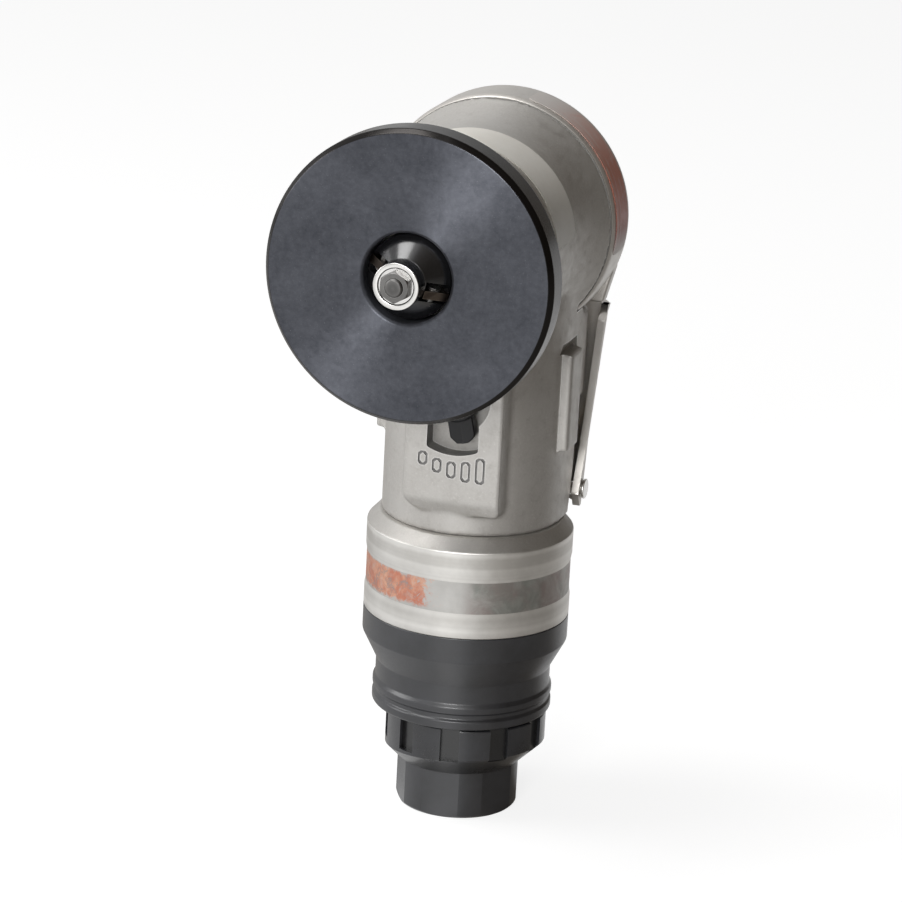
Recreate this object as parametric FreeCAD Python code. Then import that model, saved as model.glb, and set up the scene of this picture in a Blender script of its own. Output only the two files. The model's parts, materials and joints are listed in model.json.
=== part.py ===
import FreeCAD
import Part
import math
import os

# Pneumatic chamfering machine, in millimetres.
# The origin is at the mouth of the air inlet, on its axis. +Z runs up the handle,
# and the spindle looks along -Y from the head at the top.

Vector = FreeCAD.Vector

# Shared clearances
overrun = 2.0
fit_gap = 0.05
running_gap = 0.1
seat_gap = 0.1
free_gap = 0.4
film = 0.15

# Rises that stack up from the handle's foot to the spindle
lever_stand_off = 0.4
lever_pivot_rise = 3.5
valve_rise = 10.8
regulator_rise = 14.4
head_rise = 31.2

# Head: places along Y, with the handle's axis at zero
nose_diameter = 41.6
nose_front = -24.0
nose_length = 15.4
nose_side_wall = 2.2
flare_length = 12.9
flare_hollow = 0.7
flare_rise = 3.8
rim_step = 0.6
rim_bevel = 1.2
cover_depth = 12.5
cover_edge_round = 1.6
cover_wall = 2.0
nose_wall = 4.0

# Threaded neck that carries the guide plate
neck_diameter = 30.0
neck_length = 16.0
neck_edge = 0.6
neck_groove_depth = 1.0
neck_groove_width = 3.4
seal_thickness = 3.0
seal_diameter = 16.0

# Motor
front_plate_thickness = 6.0
cylinder_length = 22.0
cylinder_wall = 3.6
cylinder_offset = 1.5
cylinder_port_width = 3.0
cylinder_port_length = 12.0
rear_plate_thickness = 6.6
rotor_side_gap = 0.2
rotor_end_gap = 0.1
vane_depth_share = 5 / 11
rotor_core_share = 1 / 6
vane_count = 5
vane_slot_width = 1.6
vane_side_gap = 0.05
dowel_diameter = 2.0
dowel_inset = 1.6
dowel_angle = 180.0
dowel_depth = 3.0
spindle_front_diameter = 8.0
spindle_rear_diameter = 6.0
washer_wire = 0.4
washer_width = 1.6

# Ball bearings
front_bearing_diameter = 22.0
front_bearing_width = 7.0
front_ball_count = 7
rear_bearing_diameter = 19.0
rear_bearing_width = 6.0
rear_ball_count = 6
ring_share = 0.3
groove_share = 0.25

# Cutter with its inserts
cutter_diameter = 16.4
cutter_nose_diameter = 8.6
cutter_cone_angle = 45.0
cutter_length = 17.5
cutter_inset = 3.5
cutter_neck_length = 9.0
cutter_neck_diameter = 12.8
cutter_neck_flats = 11.0
cutter_flat_length = 5.0
cutter_thread_length = 10.0
insert_count = 2
insert_first_angle = -16.0
insert_length = 5.2
insert_width = 3.2
insert_thickness = 1.6
insert_proud = 0.25
gullet_width = 2.4
insert_screw_diameter = 1.6
insert_screw_length = 3.2
insert_screw_head_diameter = 2.6
insert_screw_head_height = 0.5
insert_screw_slot = 0.5

# Pilot bearing on the tip
pilot_width = 4.0
pilot_diameter = 9.0
pilot_stud_diameter = 4.0
pilot_inner_wall = 0.9
pilot_outer_wall = 1.0
pilot_ball_diameter = 1.2
pilot_ring_edge = 0.25
pilot_ball_count = 7
pilot_shield_thickness = 0.4
pilot_shield_inset = 0.3
pilot_seat_step = 0.4
pilot_nut_flats = 5.4
pilot_nut_thickness = 1.4
pilot_stud_tip_diameter = 3.6
pilot_stud_proud = 0.5
pilot_stud_tip_edge = 0.35

# Guide plate
plate_face_diameter = 55.0
plate_thickness = 7.4
plate_edge = 0.9
plate_edge_depth = 1.1
plate_mouth_diameter = 17.4
plate_mouth_edge = 0.5
plate_web = 5.9
plate_hub_wall = 2.0
plate_hub_length = 13.7
plate_hub_setback = 6.4
plate_travel = 2.0
plate_key_width = 3.0
plate_key_height = 1.2
plate_key_length = 8.0

# Adjusting ring behind the guide plate
ring_wall = 2.4
ring_length = 9.6
ring_edge = 0.6
ring_knurl_count = 40
ring_knurl_diameter = 1.0
ring_screw_diameter = 3.0
ring_screw_angle = 200.0

# Handle casting: a D-shaped section with a round front
handle_width = 37.2
handle_front_centre = 0.8
handle_back_round = 5.0
handle_top_below_axis = 8.0
rebate_depth = 1.2
rebate_low_reach = 6.3
rebate_high_reach = 2.3
rebate_height = 17.2
heel_width = 27.0
heel_proud = 2.0
heel_height = 8.4
rise_proud = 4.3
rise_start_below_axis = 36.6
rise_end_below_axis = 18.6

# Raised pad with the regulator's recess
pad_shift = 1.0
pad_width = 20.4
pad_height = 1.5
pad_rise = 4.4
pad_top_below_axis = 12.0
pad_corner = 4.2
pad_foot = 1.6
pad_edge_round = 0.7
corner_steps = 4
recess_steps = 6
recess_depth = 4.0
recess_reach = 12.05
recess_width = 10.7
recess_round = 1.2
bar_count = 5
bar_pitch = 3.0
bar_width = 2.0
bar_line = 0.35
bar_depth = 0.3
bar_reach = 13.3
bar_short = 2.9
bar_growth = 2.5
bar_corner = 0.5

# Regulator
hub_diameter = 10.4
hub_pocket_diameter = 15.0
hub_thickness = 3.2
hub_stand_off = 0.5
hub_edge = 0.5
hub_thread_count = 4
hub_thread_depth = 0.14
regulator_arm_width = 5.2
regulator_arm_reach = 9.6
regulator_arm_thickness = 2.7
regulator_arm_corner = 1.3
regulator_arm_angle = 12.5
regulator_stem_diameter = 9.0
regulator_stem_length = 21.6
regulator_port_diameter = 4.0
regulator_screw_diameter = 3.0
regulator_screw_head_diameter = 6.0
regulator_screw_head_height = 1.2
regulator_screw_length = 6.0
regulator_screw_slot = 0.8

# Side bars cast on the handle
side_bar_height = 1.8
side_bar_front = -3.2
side_bar_back = 4.8
side_bar_below_axis = 24.2
side_bar_length = 20.3
side_bar_edge = 0.5
side_groove_width = 1.0
side_groove_depth = 0.5
side_hood_height = 2.0
side_hood_depth = 1.3

# Throttle lever: a bent channel behind the handle
lever_wall = 1.5
lever_side_gap = 1.0
lever_over_collar = 0.1
lever_round = 6.0
lever_knee_drop = 0.4
lever_chin_gap = 1.6
lever_bottom_out = 4.1
lever_knee_out = 5.0
lever_top_out = 11.5
flange_bottom_in = 5.3
flange_knee_in = 0.9
flange_top_out = 4.5
lever_pivot_in = 1.3
lever_pin_diameter = 3.0
lever_pin_head_diameter = 4.2
lever_pin_head = 0.5
lever_toe_round = 3.0
lever_swing = 7.0

# Throttle valve, along Y under the lever
bushing_diameter = 10.8
bushing_bore_diameter = 6.0
bushing_length = 20.5
bushing_flange_diameter = 12.6
bushing_flange = 0.8
plunger_gap = 0.25
plunger_inset = 6.5
plunger_dome = 1.0
plunger_cap_diameter = 5.0
plunger_oring_inset = 6.5
spring_wire = 0.5
spring_turns = 3
spring_radial_gap = 0.25
coil_samples = 6
valve_port_diameter = 3.0

# Air ways in the casting
air_bore_diameter = 8.0
exhaust_bore_diameter = 5.2
exhaust_bore_wall = 3.3
exhaust_bore_front = -3.0

# Turned collar between the handle and the exhaust housing
collar_step = 2.6
collar_length = 18.2
collar_cone_height = 2.5
collar_cone_depth = 2.3
collar_band_rise = 4.7
collar_band_height = 7.8
collar_band_depth = 0.35
collar_wall = 6.2
spigot_length = 12.8

# Black exhaust housing
exhaust_stand_off = 0.15
exhaust_seat_length = 5.3
exhaust_taper_length = 6.1
exhaust_taper_depth = 3.1
exhaust_barrel_length = 4.2
ridge_proud = 0.5
ridge_low_length = 2.3
ridge_gap = 0.9
ridge_high_length = 2.0
ridge_edge = 0.4
exhaust_wall = 3.0
exhaust_floor = 3.0
exhaust_spigot = 5.0
exhaust_hole_count = 8
exhaust_hole_diameter = 3.0
exhaust_hole_inset = 0.4
felt_gap = 0.7

# Exhaust deflector: an off-centre drum with slots and a coned foot
deflector_diameter = 33.2
deflector_offset = 1.6
deflector_angle = -25.0
deflector_skirt_length = 1.3
deflector_top_gap = 0.35
deflector_shelf_rise = 2.9
deflector_skirt_wall = 0.25
deflector_wall = 2.8
deflector_slot_count = 6
deflector_slot_width = 4.0
deflector_slot_depth = 1.1
deflector_slot_pitch = 36.0
deflector_slot_first = 203.7
deflector_sleeve_wall = 1.0
deflector_window_count = 4
deflector_window_first = 59.7
deflector_window_rise = 1.0
deflector_window_height = 5.0

# Inlet bushing with its hexagon
inlet_corner_trim = 1.3
inlet_flats = 24.0
inlet_edge = 0.6
hexagon_height = 11.5
journal_diameter = 22.0
journal_length = 10.15
stem_diameter = 17.0
stem_grip = 7.5
inlet_thread_diameter = 11.45
inlet_thread_length = 11.0
strainer_seat_diameter = 10.4
strainer_thickness = 0.8
strainer_hole_diameter = 1.2
strainer_hole_count = 8
strainer_hole_circle = 3.2
oring_wire = 1.5
stem_oring_drop = 4.0

# Labels without print
nose_label_margin = 2.1
nose_label_end_angle = 4.0
rim_label_margin = 1.1
rim_label_back_margin = 2.4
rim_label_low_angle = -12.0
rim_label_high_angle = 78.0
label_steps = 24

# Screws of the rear cover and its gasket
cover_screw_count = 4
cover_screw_first_angle = 45.0
cover_screw_inset = 2.6
cover_screw_diameter = 2.5
cover_screw_head_diameter = 4.5
cover_screw_head_height = 2.4
cover_screw_depth = 3.4
cover_socket_flats = 2.0
cover_socket_depth = 1.3
gasket_thickness = 0.3
chin_top_below_axis = 9.0
chin_height = 8.1
chin_depth = 3.1
chin_inset = 1.7
chin_taper = 2.1
chin_gap = 0.2

# Heights worked out from the inlet's mouth upwards
journal_top = hexagon_height + journal_length
exhaust_bottom = journal_top + exhaust_stand_off
ridge_low_top = exhaust_bottom + ridge_low_length
ridge_high_bottom = ridge_low_top + ridge_gap
ridge_high_top = ridge_high_bottom + ridge_high_length
exhaust_taper_bottom = ridge_high_top + exhaust_barrel_length
exhaust_taper_top = exhaust_taper_bottom + exhaust_taper_length
collar_bottom = exhaust_taper_top + exhaust_seat_length
collar_top_edge = collar_bottom + collar_length
collar_band_bottom = collar_bottom + collar_band_rise
collar_band_top = collar_band_bottom + collar_band_height
handle_bottom = collar_top_edge + collar_cone_height
spigot_bottom = handle_bottom - spigot_length
stem_top = spigot_bottom + stem_grip
stem_oring_height = stem_top - stem_oring_drop
lever_bottom = handle_bottom + lever_stand_off
lever_pivot_height = lever_bottom + lever_pivot_rise
valve_height = lever_pivot_height + valve_rise
lever_knee = valve_height - lever_knee_drop
regulator_height = valve_height + regulator_rise
head_axis_height = regulator_height + head_rise
chin_bottom_below_axis = chin_top_below_axis + chin_height
lever_top = head_axis_height - chin_bottom_below_axis - lever_chin_gap
pad_bottom = handle_bottom + pad_rise
deflector_bottom = hexagon_height - deflector_skirt_length
deflector_shelf = hexagon_height + deflector_shelf_rise
deflector_window_bottom = deflector_shelf + deflector_window_rise
deflector_window_top = deflector_window_bottom + deflector_window_height

# Places along Y worked out from the nose's front
flare_front = nose_front + nose_length
rim_front = flare_front + flare_length
cover_front = rim_front + gasket_thickness
cover_back = rim_front + cover_depth
handle_back = cover_back - chin_depth - chin_gap
stack_front = nose_front + nose_wall
front_plate_back = stack_front + front_plate_thickness
cylinder_back = front_plate_back + cylinder_length
rear_plate_back = cylinder_back + rear_plate_thickness
neck_front = nose_front - neck_length
front_bearing_front = stack_front - front_bearing_width
rear_bearing_front = rear_plate_back - rear_bearing_width
ring_back = nose_front - free_gap
ring_front = ring_back - ring_length
hub_end = nose_front - plate_hub_setback
plate_back = hub_end - plate_hub_length
plate_face = plate_back - plate_thickness
cutter_back = neck_front + cutter_inset
cutter_barrel_back = cutter_back - cutter_neck_length
cutter_thread_end = cutter_back - cutter_thread_length
pilot_back = cutter_back - cutter_length
pilot_front = pilot_back - pilot_width
rebate_low = handle_back - rebate_low_reach
rebate_high = handle_back - rebate_high_reach
lever_back_bottom = handle_back + lever_bottom_out
lever_back_knee = handle_back + lever_knee_out
lever_back_top = handle_back + lever_top_out
lever_front_bottom = handle_back - flange_bottom_in
lever_front_knee = handle_back - flange_knee_in
lever_front_top = handle_back + flange_top_out
lever_pivot_back = handle_back - lever_pivot_in
bushing_front = handle_back - bushing_length
plunger_front = bushing_front + plunger_inset
plunger_oring_place = plunger_front + plunger_oring_inset
nose_label_front = nose_front + nose_label_margin
rim_label_front = cover_front + rim_label_margin
rim_label_back = cover_back - rim_label_back_margin

# Widths and diameters that follow from the head and the handle
motor_bore_diameter = nose_diameter - 2 * nose_side_wall
rim_front_diameter = nose_diameter + 2 * flare_rise
rim_diameter = rim_front_diameter + 2 * rim_step
chin_top_width = rim_diameter - 2 * chin_inset
chin_bottom_width = chin_top_width - 2 * chin_taper
cover_screw_circle = motor_bore_diameter / 2 + cover_screw_inset
cylinder_bore_diameter = motor_bore_diameter - 2 * seat_gap - 2 * cylinder_wall
rotor_diameter = cylinder_bore_diameter - 2 * cylinder_offset - 2 * rotor_side_gap
vane_slot_depth = rotor_diameter / 2 * vane_depth_share
rotor_core = rotor_diameter / 2 * rotor_core_share
spindle_rotor_diameter = rotor_diameter - 2 * (vane_slot_depth + rotor_core)
deflector_chamber_diameter = deflector_diameter - 2 * deflector_wall
dowel_circle_radius = motor_bore_diameter / 2 - seat_gap - dowel_inset
ring_diameter = neck_diameter + 2 * (plate_hub_wall + 2 * running_gap + ring_wall)
handle_side = handle_width / 2
handle_front = handle_front_centre - handle_side
pad_front = handle_front - pad_height
pad_floor = pad_front + recess_depth
hub_radius = hub_diameter / 2
regulator_stem_front = pad_front - hub_stand_off + hub_thickness
regulator_stem_end = regulator_stem_front + regulator_stem_length
collar_diameter = handle_width + 2 * collar_step
collar_shoulder_diameter = collar_diameter - 2 * collar_cone_depth
collar_thread_diameter = collar_diameter - 2 * collar_wall
exhaust_barrel_diameter = collar_diameter - 2 * exhaust_taper_depth
ridge_diameter = exhaust_barrel_diameter + 2 * ridge_proud
exhaust_hole_reach = exhaust_barrel_diameter / 2 - exhaust_wall - exhaust_hole_inset
exhaust_hole_circle = exhaust_hole_reach - exhaust_hole_diameter / 2
exhaust_bore_side = handle_side - rebate_depth - exhaust_bore_wall - exhaust_bore_diameter / 2
felt_bore_diameter = stem_diameter + 2 * felt_gap
lever_top_width = collar_diameter + 2 * lever_over_collar
lever_bottom_width = handle_width + 2 * (lever_side_gap + lever_wall - rebate_depth)
inlet_diameter = inlet_flats + inlet_corner_trim
ORIGIN = Vector(0, 0, 0)
UP = Vector(0, 0, 1)
BACK = Vector(0, 1, 0)
RIGHT = Vector(1, 0, 0)
FULL_TURN = 360
HALF_TURN = 180
HEX_SIDES = 6
QUARTERS = 4


def rod_z(diameter, low, high, x=0, y=0):
    return Part.makeCylinder(diameter / 2, high - low, Vector(x, y, low), UP)


def rod_y(diameter, front, back, x=0, z=head_axis_height):
    return Part.makeCylinder(diameter / 2, back - front, Vector(x, front, z), BACK)


def rod_x(diameter, left, right, y, z):
    return Part.makeCylinder(diameter / 2, right - left, Vector(left, y, z), RIGHT)


def tube_y(outer, inner, front, back, x=0, z=head_axis_height):
    bore = rod_y(inner, front - overrun, back + overrun, x, z)
    return rod_y(outer, front, back, x, z).cut(bore)


def tube_z(outer, inner, low, high):
    return rod_z(outer, low, high).cut(rod_z(inner, low - overrun, high + overrun))


def block(left, right, front, back, low, high):
    return Part.makeBox(right - left, back - front, high - low, Vector(left, front, low))


def closed(points):
    return Part.makePolygon(points + points[:1])


def turned_y(outline, z=head_axis_height, x=0):
    """Turn an outline of (radius, y) points about an axis along Y."""
    wire = closed([Vector(x + radius, y, z) for radius, y in outline])
    return Part.Face(wire).revolve(Vector(x, 0, z), BACK, FULL_TURN)


def turned_z(outline):
    """Turn an outline of (radius, z) points about the handle's axis."""
    wire = closed([Vector(radius, 0, z) for radius, z in outline])
    return Part.Face(wire).revolve(ORIGIN, UP, FULL_TURN)


def prism_x(outline, left, right):
    wire = closed([Vector(left, y, z) for y, z in outline])
    return Part.Face(wire).extrude(Vector(right - left, 0, 0))


def prism_y(outline, front, back):
    wire = closed([Vector(x, front, z) for x, z in outline])
    return Part.Face(wire).extrude(Vector(0, back - front, 0))


def hexagon(flats, turn=0):
    corner = flats / 2 / math.cos(math.pi / HEX_SIDES)
    angles = [math.radians(turn + FULL_TURN * i / HEX_SIDES) for i in range(HEX_SIDES)]
    return [(corner * math.cos(a), corner * math.sin(a)) for a in angles]


def spun(shape, angle, centre=Vector(0, 0, head_axis_height), axis=BACK):
    copy = shape.copy()
    copy.rotate(centre, axis, angle)
    return copy


def joined(shapes):
    return shapes[0].multiFuse(shapes[1:]).removeSplitter() if len(shapes) > 1 else shapes[0]


def around(shape, count, first=0, centre=Vector(0, 0, head_axis_height), axis=BACK):
    return [spun(shape, first + FULL_TURN * i / count, centre, axis) for i in range(count)]


def at_angle(radius, degrees):
    """Give (x, z) offsets from the spindle, with angles counted from +X upwards."""
    return radius * math.cos(math.radians(degrees)), radius * math.sin(math.radians(degrees))


# Ball bearings

def bearing(outer, inner, width, front, balls):
    """Give the outer ring, the inner ring and the balls of one bearing."""
    wall = (outer - inner) / 2 * ring_share
    ball = (outer - inner) / 2 - wall - wall * groove_share
    pitch = (outer + inner) / 2
    middle = front + width / 2
    groove = Part.makeTorus(pitch / 2, ball / 2 + fit_gap, Vector(0, middle, head_axis_height), BACK)
    outer_ring = tube_y(outer, outer - 2 * wall, front, front + width).cut(groove)
    inner_ring = tube_y(inner + 2 * wall, inner + 2 * fit_gap, front, front + width).cut(groove)
    place = Vector(pitch / 2, middle, head_axis_height)
    ball_set = around(Part.makeSphere(ball / 2, place), balls)
    return outer_ring, inner_ring, Part.makeCompound(ball_set)


# Housing

def handle_section(width, back, corner, low, high):
    """Give the D-shaped prism of the handle, round in front and flat behind."""
    side = width / 2
    centre = Vector(0, handle_front_centre, low)
    start = Vector(side, handle_front_centre, low)
    end = Vector(-side, handle_front_centre, low)
    front = Part.Arc(start, centre - BACK * side, end).toShape()
    diagonal = corner * (1 - math.sqrt(2) / 2)
    left_round = Part.Arc(Vector(-side, back - corner, low),
                          Vector(-side + diagonal, back - diagonal, low),
                          Vector(-side + corner, back, low)).toShape()
    right_round = Part.Arc(Vector(side - corner, back, low),
                           Vector(side - diagonal, back - diagonal, low),
                           Vector(side, back - corner, low)).toShape()
    lines = [Part.makeLine(end, Vector(-side, back - corner, low)),
             Part.makeLine(Vector(-side + corner, back, low), Vector(side - corner, back, low)),
             Part.makeLine(Vector(side, back - corner, low), start)]
    wire = Part.Wire(Part.__sortEdges__([front, left_round, right_round] + lines))
    return Part.Face(wire).extrude(UP * (high - low))


def head_body():
    """Give the solid head: threaded neck, nose and the flare up to the rim."""
    nose = nose_diameter / 2
    rim = rim_front_diameter / 2
    middle = (flare_front + rim_front) / 2
    flare = Part.Arc(Vector(nose, flare_front, 0),
                     Vector((nose + rim) / 2 - flare_hollow, middle, 0),
                     Vector(rim, rim_front, 0)).toShape()
    neck = neck_diameter / 2
    corners = [(rim, rim_front), (0, rim_front), (0, neck_front), (neck - neck_edge, neck_front),
               (neck, neck_front + neck_edge), (neck, nose_front), (nose - neck_edge, nose_front),
               (nose, nose_front + neck_edge), (nose, flare_front)]
    points = [Vector(radius, y, 0) for radius, y in corners]
    edges = [Part.makeLine(a, b) for a, b in zip(points, points[1:])]
    wire = Part.Wire(edges + [flare])
    head = Part.Face(wire).revolve(ORIGIN, BACK, FULL_TURN)
    head.translate(UP * head_axis_height)
    return head


def pad_body():
    """Give the raised pad, with rounded lower corners and a sloped foot."""
    left = pad_shift - pad_width / 2
    right = pad_shift + pad_width / 2
    top = head_axis_height - pad_top_below_axis
    outline = [(left, top), (left, pad_bottom + pad_corner)]
    for step in range(1, corner_steps):
        turn = math.pi / 2 * step / corner_steps
        outline.append((left + pad_corner * (1 - math.cos(turn)),
                        pad_bottom + pad_corner * (1 - math.sin(turn))))
    outline.append((left + pad_corner, pad_bottom))
    mirrored = [(2 * pad_shift - x, z) for x, z in reversed(outline)]
    pad = prism_y(outline + mirrored, pad_front, 0)
    rim = [edge for edge in pad.Edges if edge.BoundBox.YMax < pad_front + fit_gap]
    pad = pad.makeFillet(pad_edge_round, rim)
    foot = prism_x([(pad_front - overrun, pad_bottom - overrun),
                    (pad_front - overrun, pad_bottom + pad_foot + overrun),
                    (pad_front + pad_foot, pad_bottom)], left, right)
    return pad.cut(foot)


def recess():
    """Give the fan-shaped pocket under the regulator's hub."""
    half = recess_width / 2
    spread = math.asin(half / recess_reach)
    outline = [(pad_shift - half, regulator_height)]
    for step in range(-recess_steps, recess_steps + 1):
        turn = spread * step / recess_steps
        outline.append((pad_shift + recess_reach * math.sin(turn),
                        regulator_height - recess_reach * math.cos(turn)))
    outline.append((pad_shift + half, regulator_height))
    fan = prism_y(outline, pad_front - overrun, pad_floor)
    fan = fan.makeFillet(recess_round, [e for e in fan.Edges if is_recess_corner(e)])
    hub_pocket = rod_y(hub_pocket_diameter, pad_front - overrun, pad_floor, pad_shift, regulator_height)
    return joined([fan, hub_pocket])


def is_recess_corner(edge):
    box = edge.BoundBox
    lowest = regulator_height - recess_reach * math.cos(math.asin(recess_width / 2 / recess_reach))
    along_y = box.YLength > recess_depth and box.XLength < fit_gap
    return along_y and abs(box.ZMin - lowest) < fit_gap


def bar_outline(left, top, length, inset):
    """Give a bar's outline with cut corners, set in by the line's width."""
    width = bar_width - 2 * inset
    x0, x1 = left + inset, left + inset + width
    z1, z0 = top - inset, top - length + inset
    c = bar_corner
    return [(x0, z0 + c), (x0 + c, z0), (x1 - c, z0), (x1, z0 + c),
            (x1, z1 - c), (x1 - c, z1), (x0 + c, z1), (x0, z1 - c)]


def bars():
    """Give the thin grooves that outline the five bars, growing to the right."""
    grooves = []
    for i in range(bar_count):
        across = (i - (bar_count - 1) / 2) * bar_pitch
        top = regulator_height - math.sqrt(bar_reach ** 2 - across ** 2)
        length = bar_short + bar_growth * (i / (bar_count - 1)) ** 2
        left = pad_shift + across - bar_width / 2
        outer = prism_y(bar_outline(left, top, length, 0), pad_front - overrun, pad_front + bar_depth)
        inner = prism_y(bar_outline(left, top, length, bar_line), pad_front - overrun, pad_front + bar_depth)
        grooves.append(outer.cut(inner))
    return grooves


def side_bar(side):
    """Give the raised bar on one side of the handle."""
    low = head_axis_height - side_bar_below_axis - side_bar_length
    high = low + side_bar_length
    outer = handle_side + side_bar_height
    edge = side_bar_edge
    across = [(0, side_bar_front), (outer - edge, side_bar_front), (outer, side_bar_front + edge),
              (outer, side_bar_back - edge), (outer - edge, side_bar_back), (0, side_bar_back)]
    wire = closed([Vector(side * x, y, low) for x, y in across])
    bar = Part.Face(wire).extrude(UP * (high - low))
    lean = prism_y([(side * (outer + overrun), low - overrun),
                    (side * (outer + overrun), low + edge + overrun),
                    (side * (outer - edge), low)], side_bar_front, side_bar_back)
    return bar.cut(lean)


def side_groove(side):
    """Give the shallow groove round a side bar, with its deeper hood above."""
    low = head_axis_height - side_bar_below_axis - side_bar_length
    high = low + side_bar_length
    floor = handle_side - side_groove_depth
    reach = handle_side + side_bar_height + overrun
    near, far = sorted((side * floor, side * reach))
    around_bar = block(near, far, side_bar_front - side_groove_width, side_bar_back + side_groove_width,
                       low + side_bar_edge, high + side_groove_width)
    keep = block(near, far, side_bar_front, side_bar_back, low - overrun, high)
    hood_near, hood_far = sorted((side * (handle_side - side_hood_depth), side * reach))
    hood = prism_x([(side_bar_front - side_groove_width, high),
                    (side_bar_back + side_groove_width, high),
                    (side_bar_back + side_groove_width, high + side_hood_height),
                    (side_bar_front, high + side_hood_height)], hood_near, hood_far)
    return around_bar.cut(keep).fuse(hood)


def rebate(side):
    """Give the cut that narrows the handle where the lever's flange moves."""
    slope = (rebate_high - rebate_low) / rebate_height
    top = handle_bottom + rebate_height
    outline = [(rebate_low - slope * overrun, handle_bottom - overrun), (rebate_high, top),
               (handle_back + overrun, top), (handle_back + overrun, handle_bottom - overrun)]
    near, far = sorted((side * (handle_side - rebate_depth), side * (handle_side + overrun)))
    return prism_x(outline, near, far)


def heel():
    """Give the block that thickens the handle's foot behind the lever's pin."""
    half = heel_width / 2
    return block(-half, half, handle_back - overrun, handle_back + heel_proud,
                 handle_bottom, handle_bottom + heel_height)


def rise():
    """Give the wedge that thickens the handle's back towards the head."""
    low = head_axis_height - rise_start_below_axis
    high = head_axis_height - rise_end_below_axis
    back = handle_back + rise_proud
    slope = rise_proud / (high - low)
    behind = prism_x([(handle_back - slope * overrun, low - overrun),
                      (back + slope * overrun, high + overrun), (back + handle_width, high + overrun),
                      (back + handle_width, low - overrun)], -handle_width, handle_width)
    return handle_section(handle_width, back, handle_back_round, low, high).cut(behind)


def housing():
    """Give the cast housing: head, handle, pad and threaded spigot."""
    handle = handle_section(handle_width, handle_back, handle_back_round,
                            handle_bottom, head_axis_height - handle_top_below_axis)
    handle = handle.cut(rebate(1)).cut(rebate(-1))
    spigot = rod_z(collar_thread_diameter, spigot_bottom, handle_bottom)
    body = joined([head_body(), handle, heel(), rise(), pad_body(), spigot, side_bar(1), side_bar(-1)])
    cover_room = rod_y(rim_diameter + 2 * seat_gap, rim_front, handle_back + rise_proud + overrun)
    body = body.cut(cover_room)
    cuts = [side_groove(1), side_groove(-1), recess()] + bars()
    cuts += [rod_y(motor_bore_diameter, stack_front, rim_front + overrun),
             rod_y(front_bearing_diameter + 2 * fit_gap, front_bearing_front, stack_front + overrun),
             rod_y(seal_diameter, neck_front - overrun, front_bearing_front)]
    groove_back = ring_back
    cuts.append(tube_y(neck_diameter + overrun, neck_diameter - 2 * neck_groove_depth,
                       groove_back - neck_groove_width, groove_back))
    cuts.append(key_body(fit_gap))
    cuts += air_ways() + screw_holes(rim_front - cover_screw_depth, rim_front + overrun)
    for cut in cuts:
        body = body.cut(cut)
    return body


def air_ways():
    """Give the inlet way, the valve's bore, the regulator's bore and the exhaust ways."""
    motor_floor = head_axis_height - motor_bore_diameter / 2
    inlet_seat = rod_z(stem_diameter + 2 * fit_gap, spigot_bottom - overrun, stem_top + seat_gap)
    way = rod_z(air_bore_diameter, stem_top - overrun, motor_floor + overrun)
    valve = rod_y(bushing_diameter + 2 * fit_gap, bushing_front - seat_gap, handle_back + overrun,
                  0, valve_height)
    regulator = rod_y(regulator_stem_diameter + 2 * fit_gap, pad_floor - overrun,
                      regulator_stem_end + seat_gap, pad_shift, regulator_height)
    lever_pin = rod_x(lever_pin_diameter + 2 * fit_gap, -handle_side - overrun, handle_side + overrun,
                      lever_pivot_back, lever_pivot_height)
    exhausts = [rod_z(exhaust_bore_diameter, spigot_bottom - overrun, motor_floor + overrun,
                      side * exhaust_bore_side, exhaust_bore_front) for side in (1, -1)]
    return [inlet_seat, way, valve, regulator, lever_pin] + exhausts


def screw_holes(front, back):
    holes = []
    for i in range(cover_screw_count):
        x, z = at_angle(cover_screw_circle, cover_screw_first_angle + FULL_TURN * i / cover_screw_count)
        holes.append(rod_y(cover_screw_diameter + 2 * fit_gap, front, back, x, head_axis_height + z))
    return holes


# Rear cover

def rear_cover():
    """Give the turned cover with its chin above the lever."""
    rim = rim_diameter / 2
    front = rim_front_diameter / 2
    cup = turned_y([(0, cover_back - cover_wall), (motor_bore_diameter / 2, cover_back - cover_wall),
                    (motor_bore_diameter / 2, cover_front), (front, cover_front),
                    (rim, cover_front + rim_bevel), (rim, cover_back - cover_edge_round),
                    (rim - cover_edge_round * (1 - math.sqrt(2) / 2),
                     cover_back - cover_edge_round * (1 - math.sqrt(2) / 2)),
                    (rim - cover_edge_round, cover_back), (0, cover_back)])
    axis = head_axis_height
    chin = prism_y([(-chin_top_width / 2, axis - chin_top_below_axis),
                    (-chin_bottom_width / 2, axis - chin_bottom_below_axis),
                    (chin_bottom_width / 2, axis - chin_bottom_below_axis),
                    (chin_top_width / 2, axis - chin_top_below_axis)],
                   handle_back + chin_gap, cover_back)
    inside = rod_y(motor_bore_diameter, cover_front - overrun, cover_back - cover_wall)
    cover = joined([cup, chin.cut(inside)])
    for hole in screw_holes(cover_front - overrun, cover_back + overrun):
        cover = cover.cut(hole)
    for i in range(cover_screw_count):
        x, z = at_angle(cover_screw_circle, cover_screw_first_angle + FULL_TURN * i / cover_screw_count)
        sink = rod_y(cover_screw_head_diameter + 2 * seat_gap, cover_back - cover_screw_head_height,
                     cover_back + overrun, x, axis + z)
        cover = cover.cut(sink)
    return cover


def cover_gasket():
    gasket = tube_y(rim_front_diameter, motor_bore_diameter, rim_front, cover_front)
    for hole in screw_holes(rim_front - overrun, cover_front + overrun):
        gasket = gasket.cut(hole)
    return gasket


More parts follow.
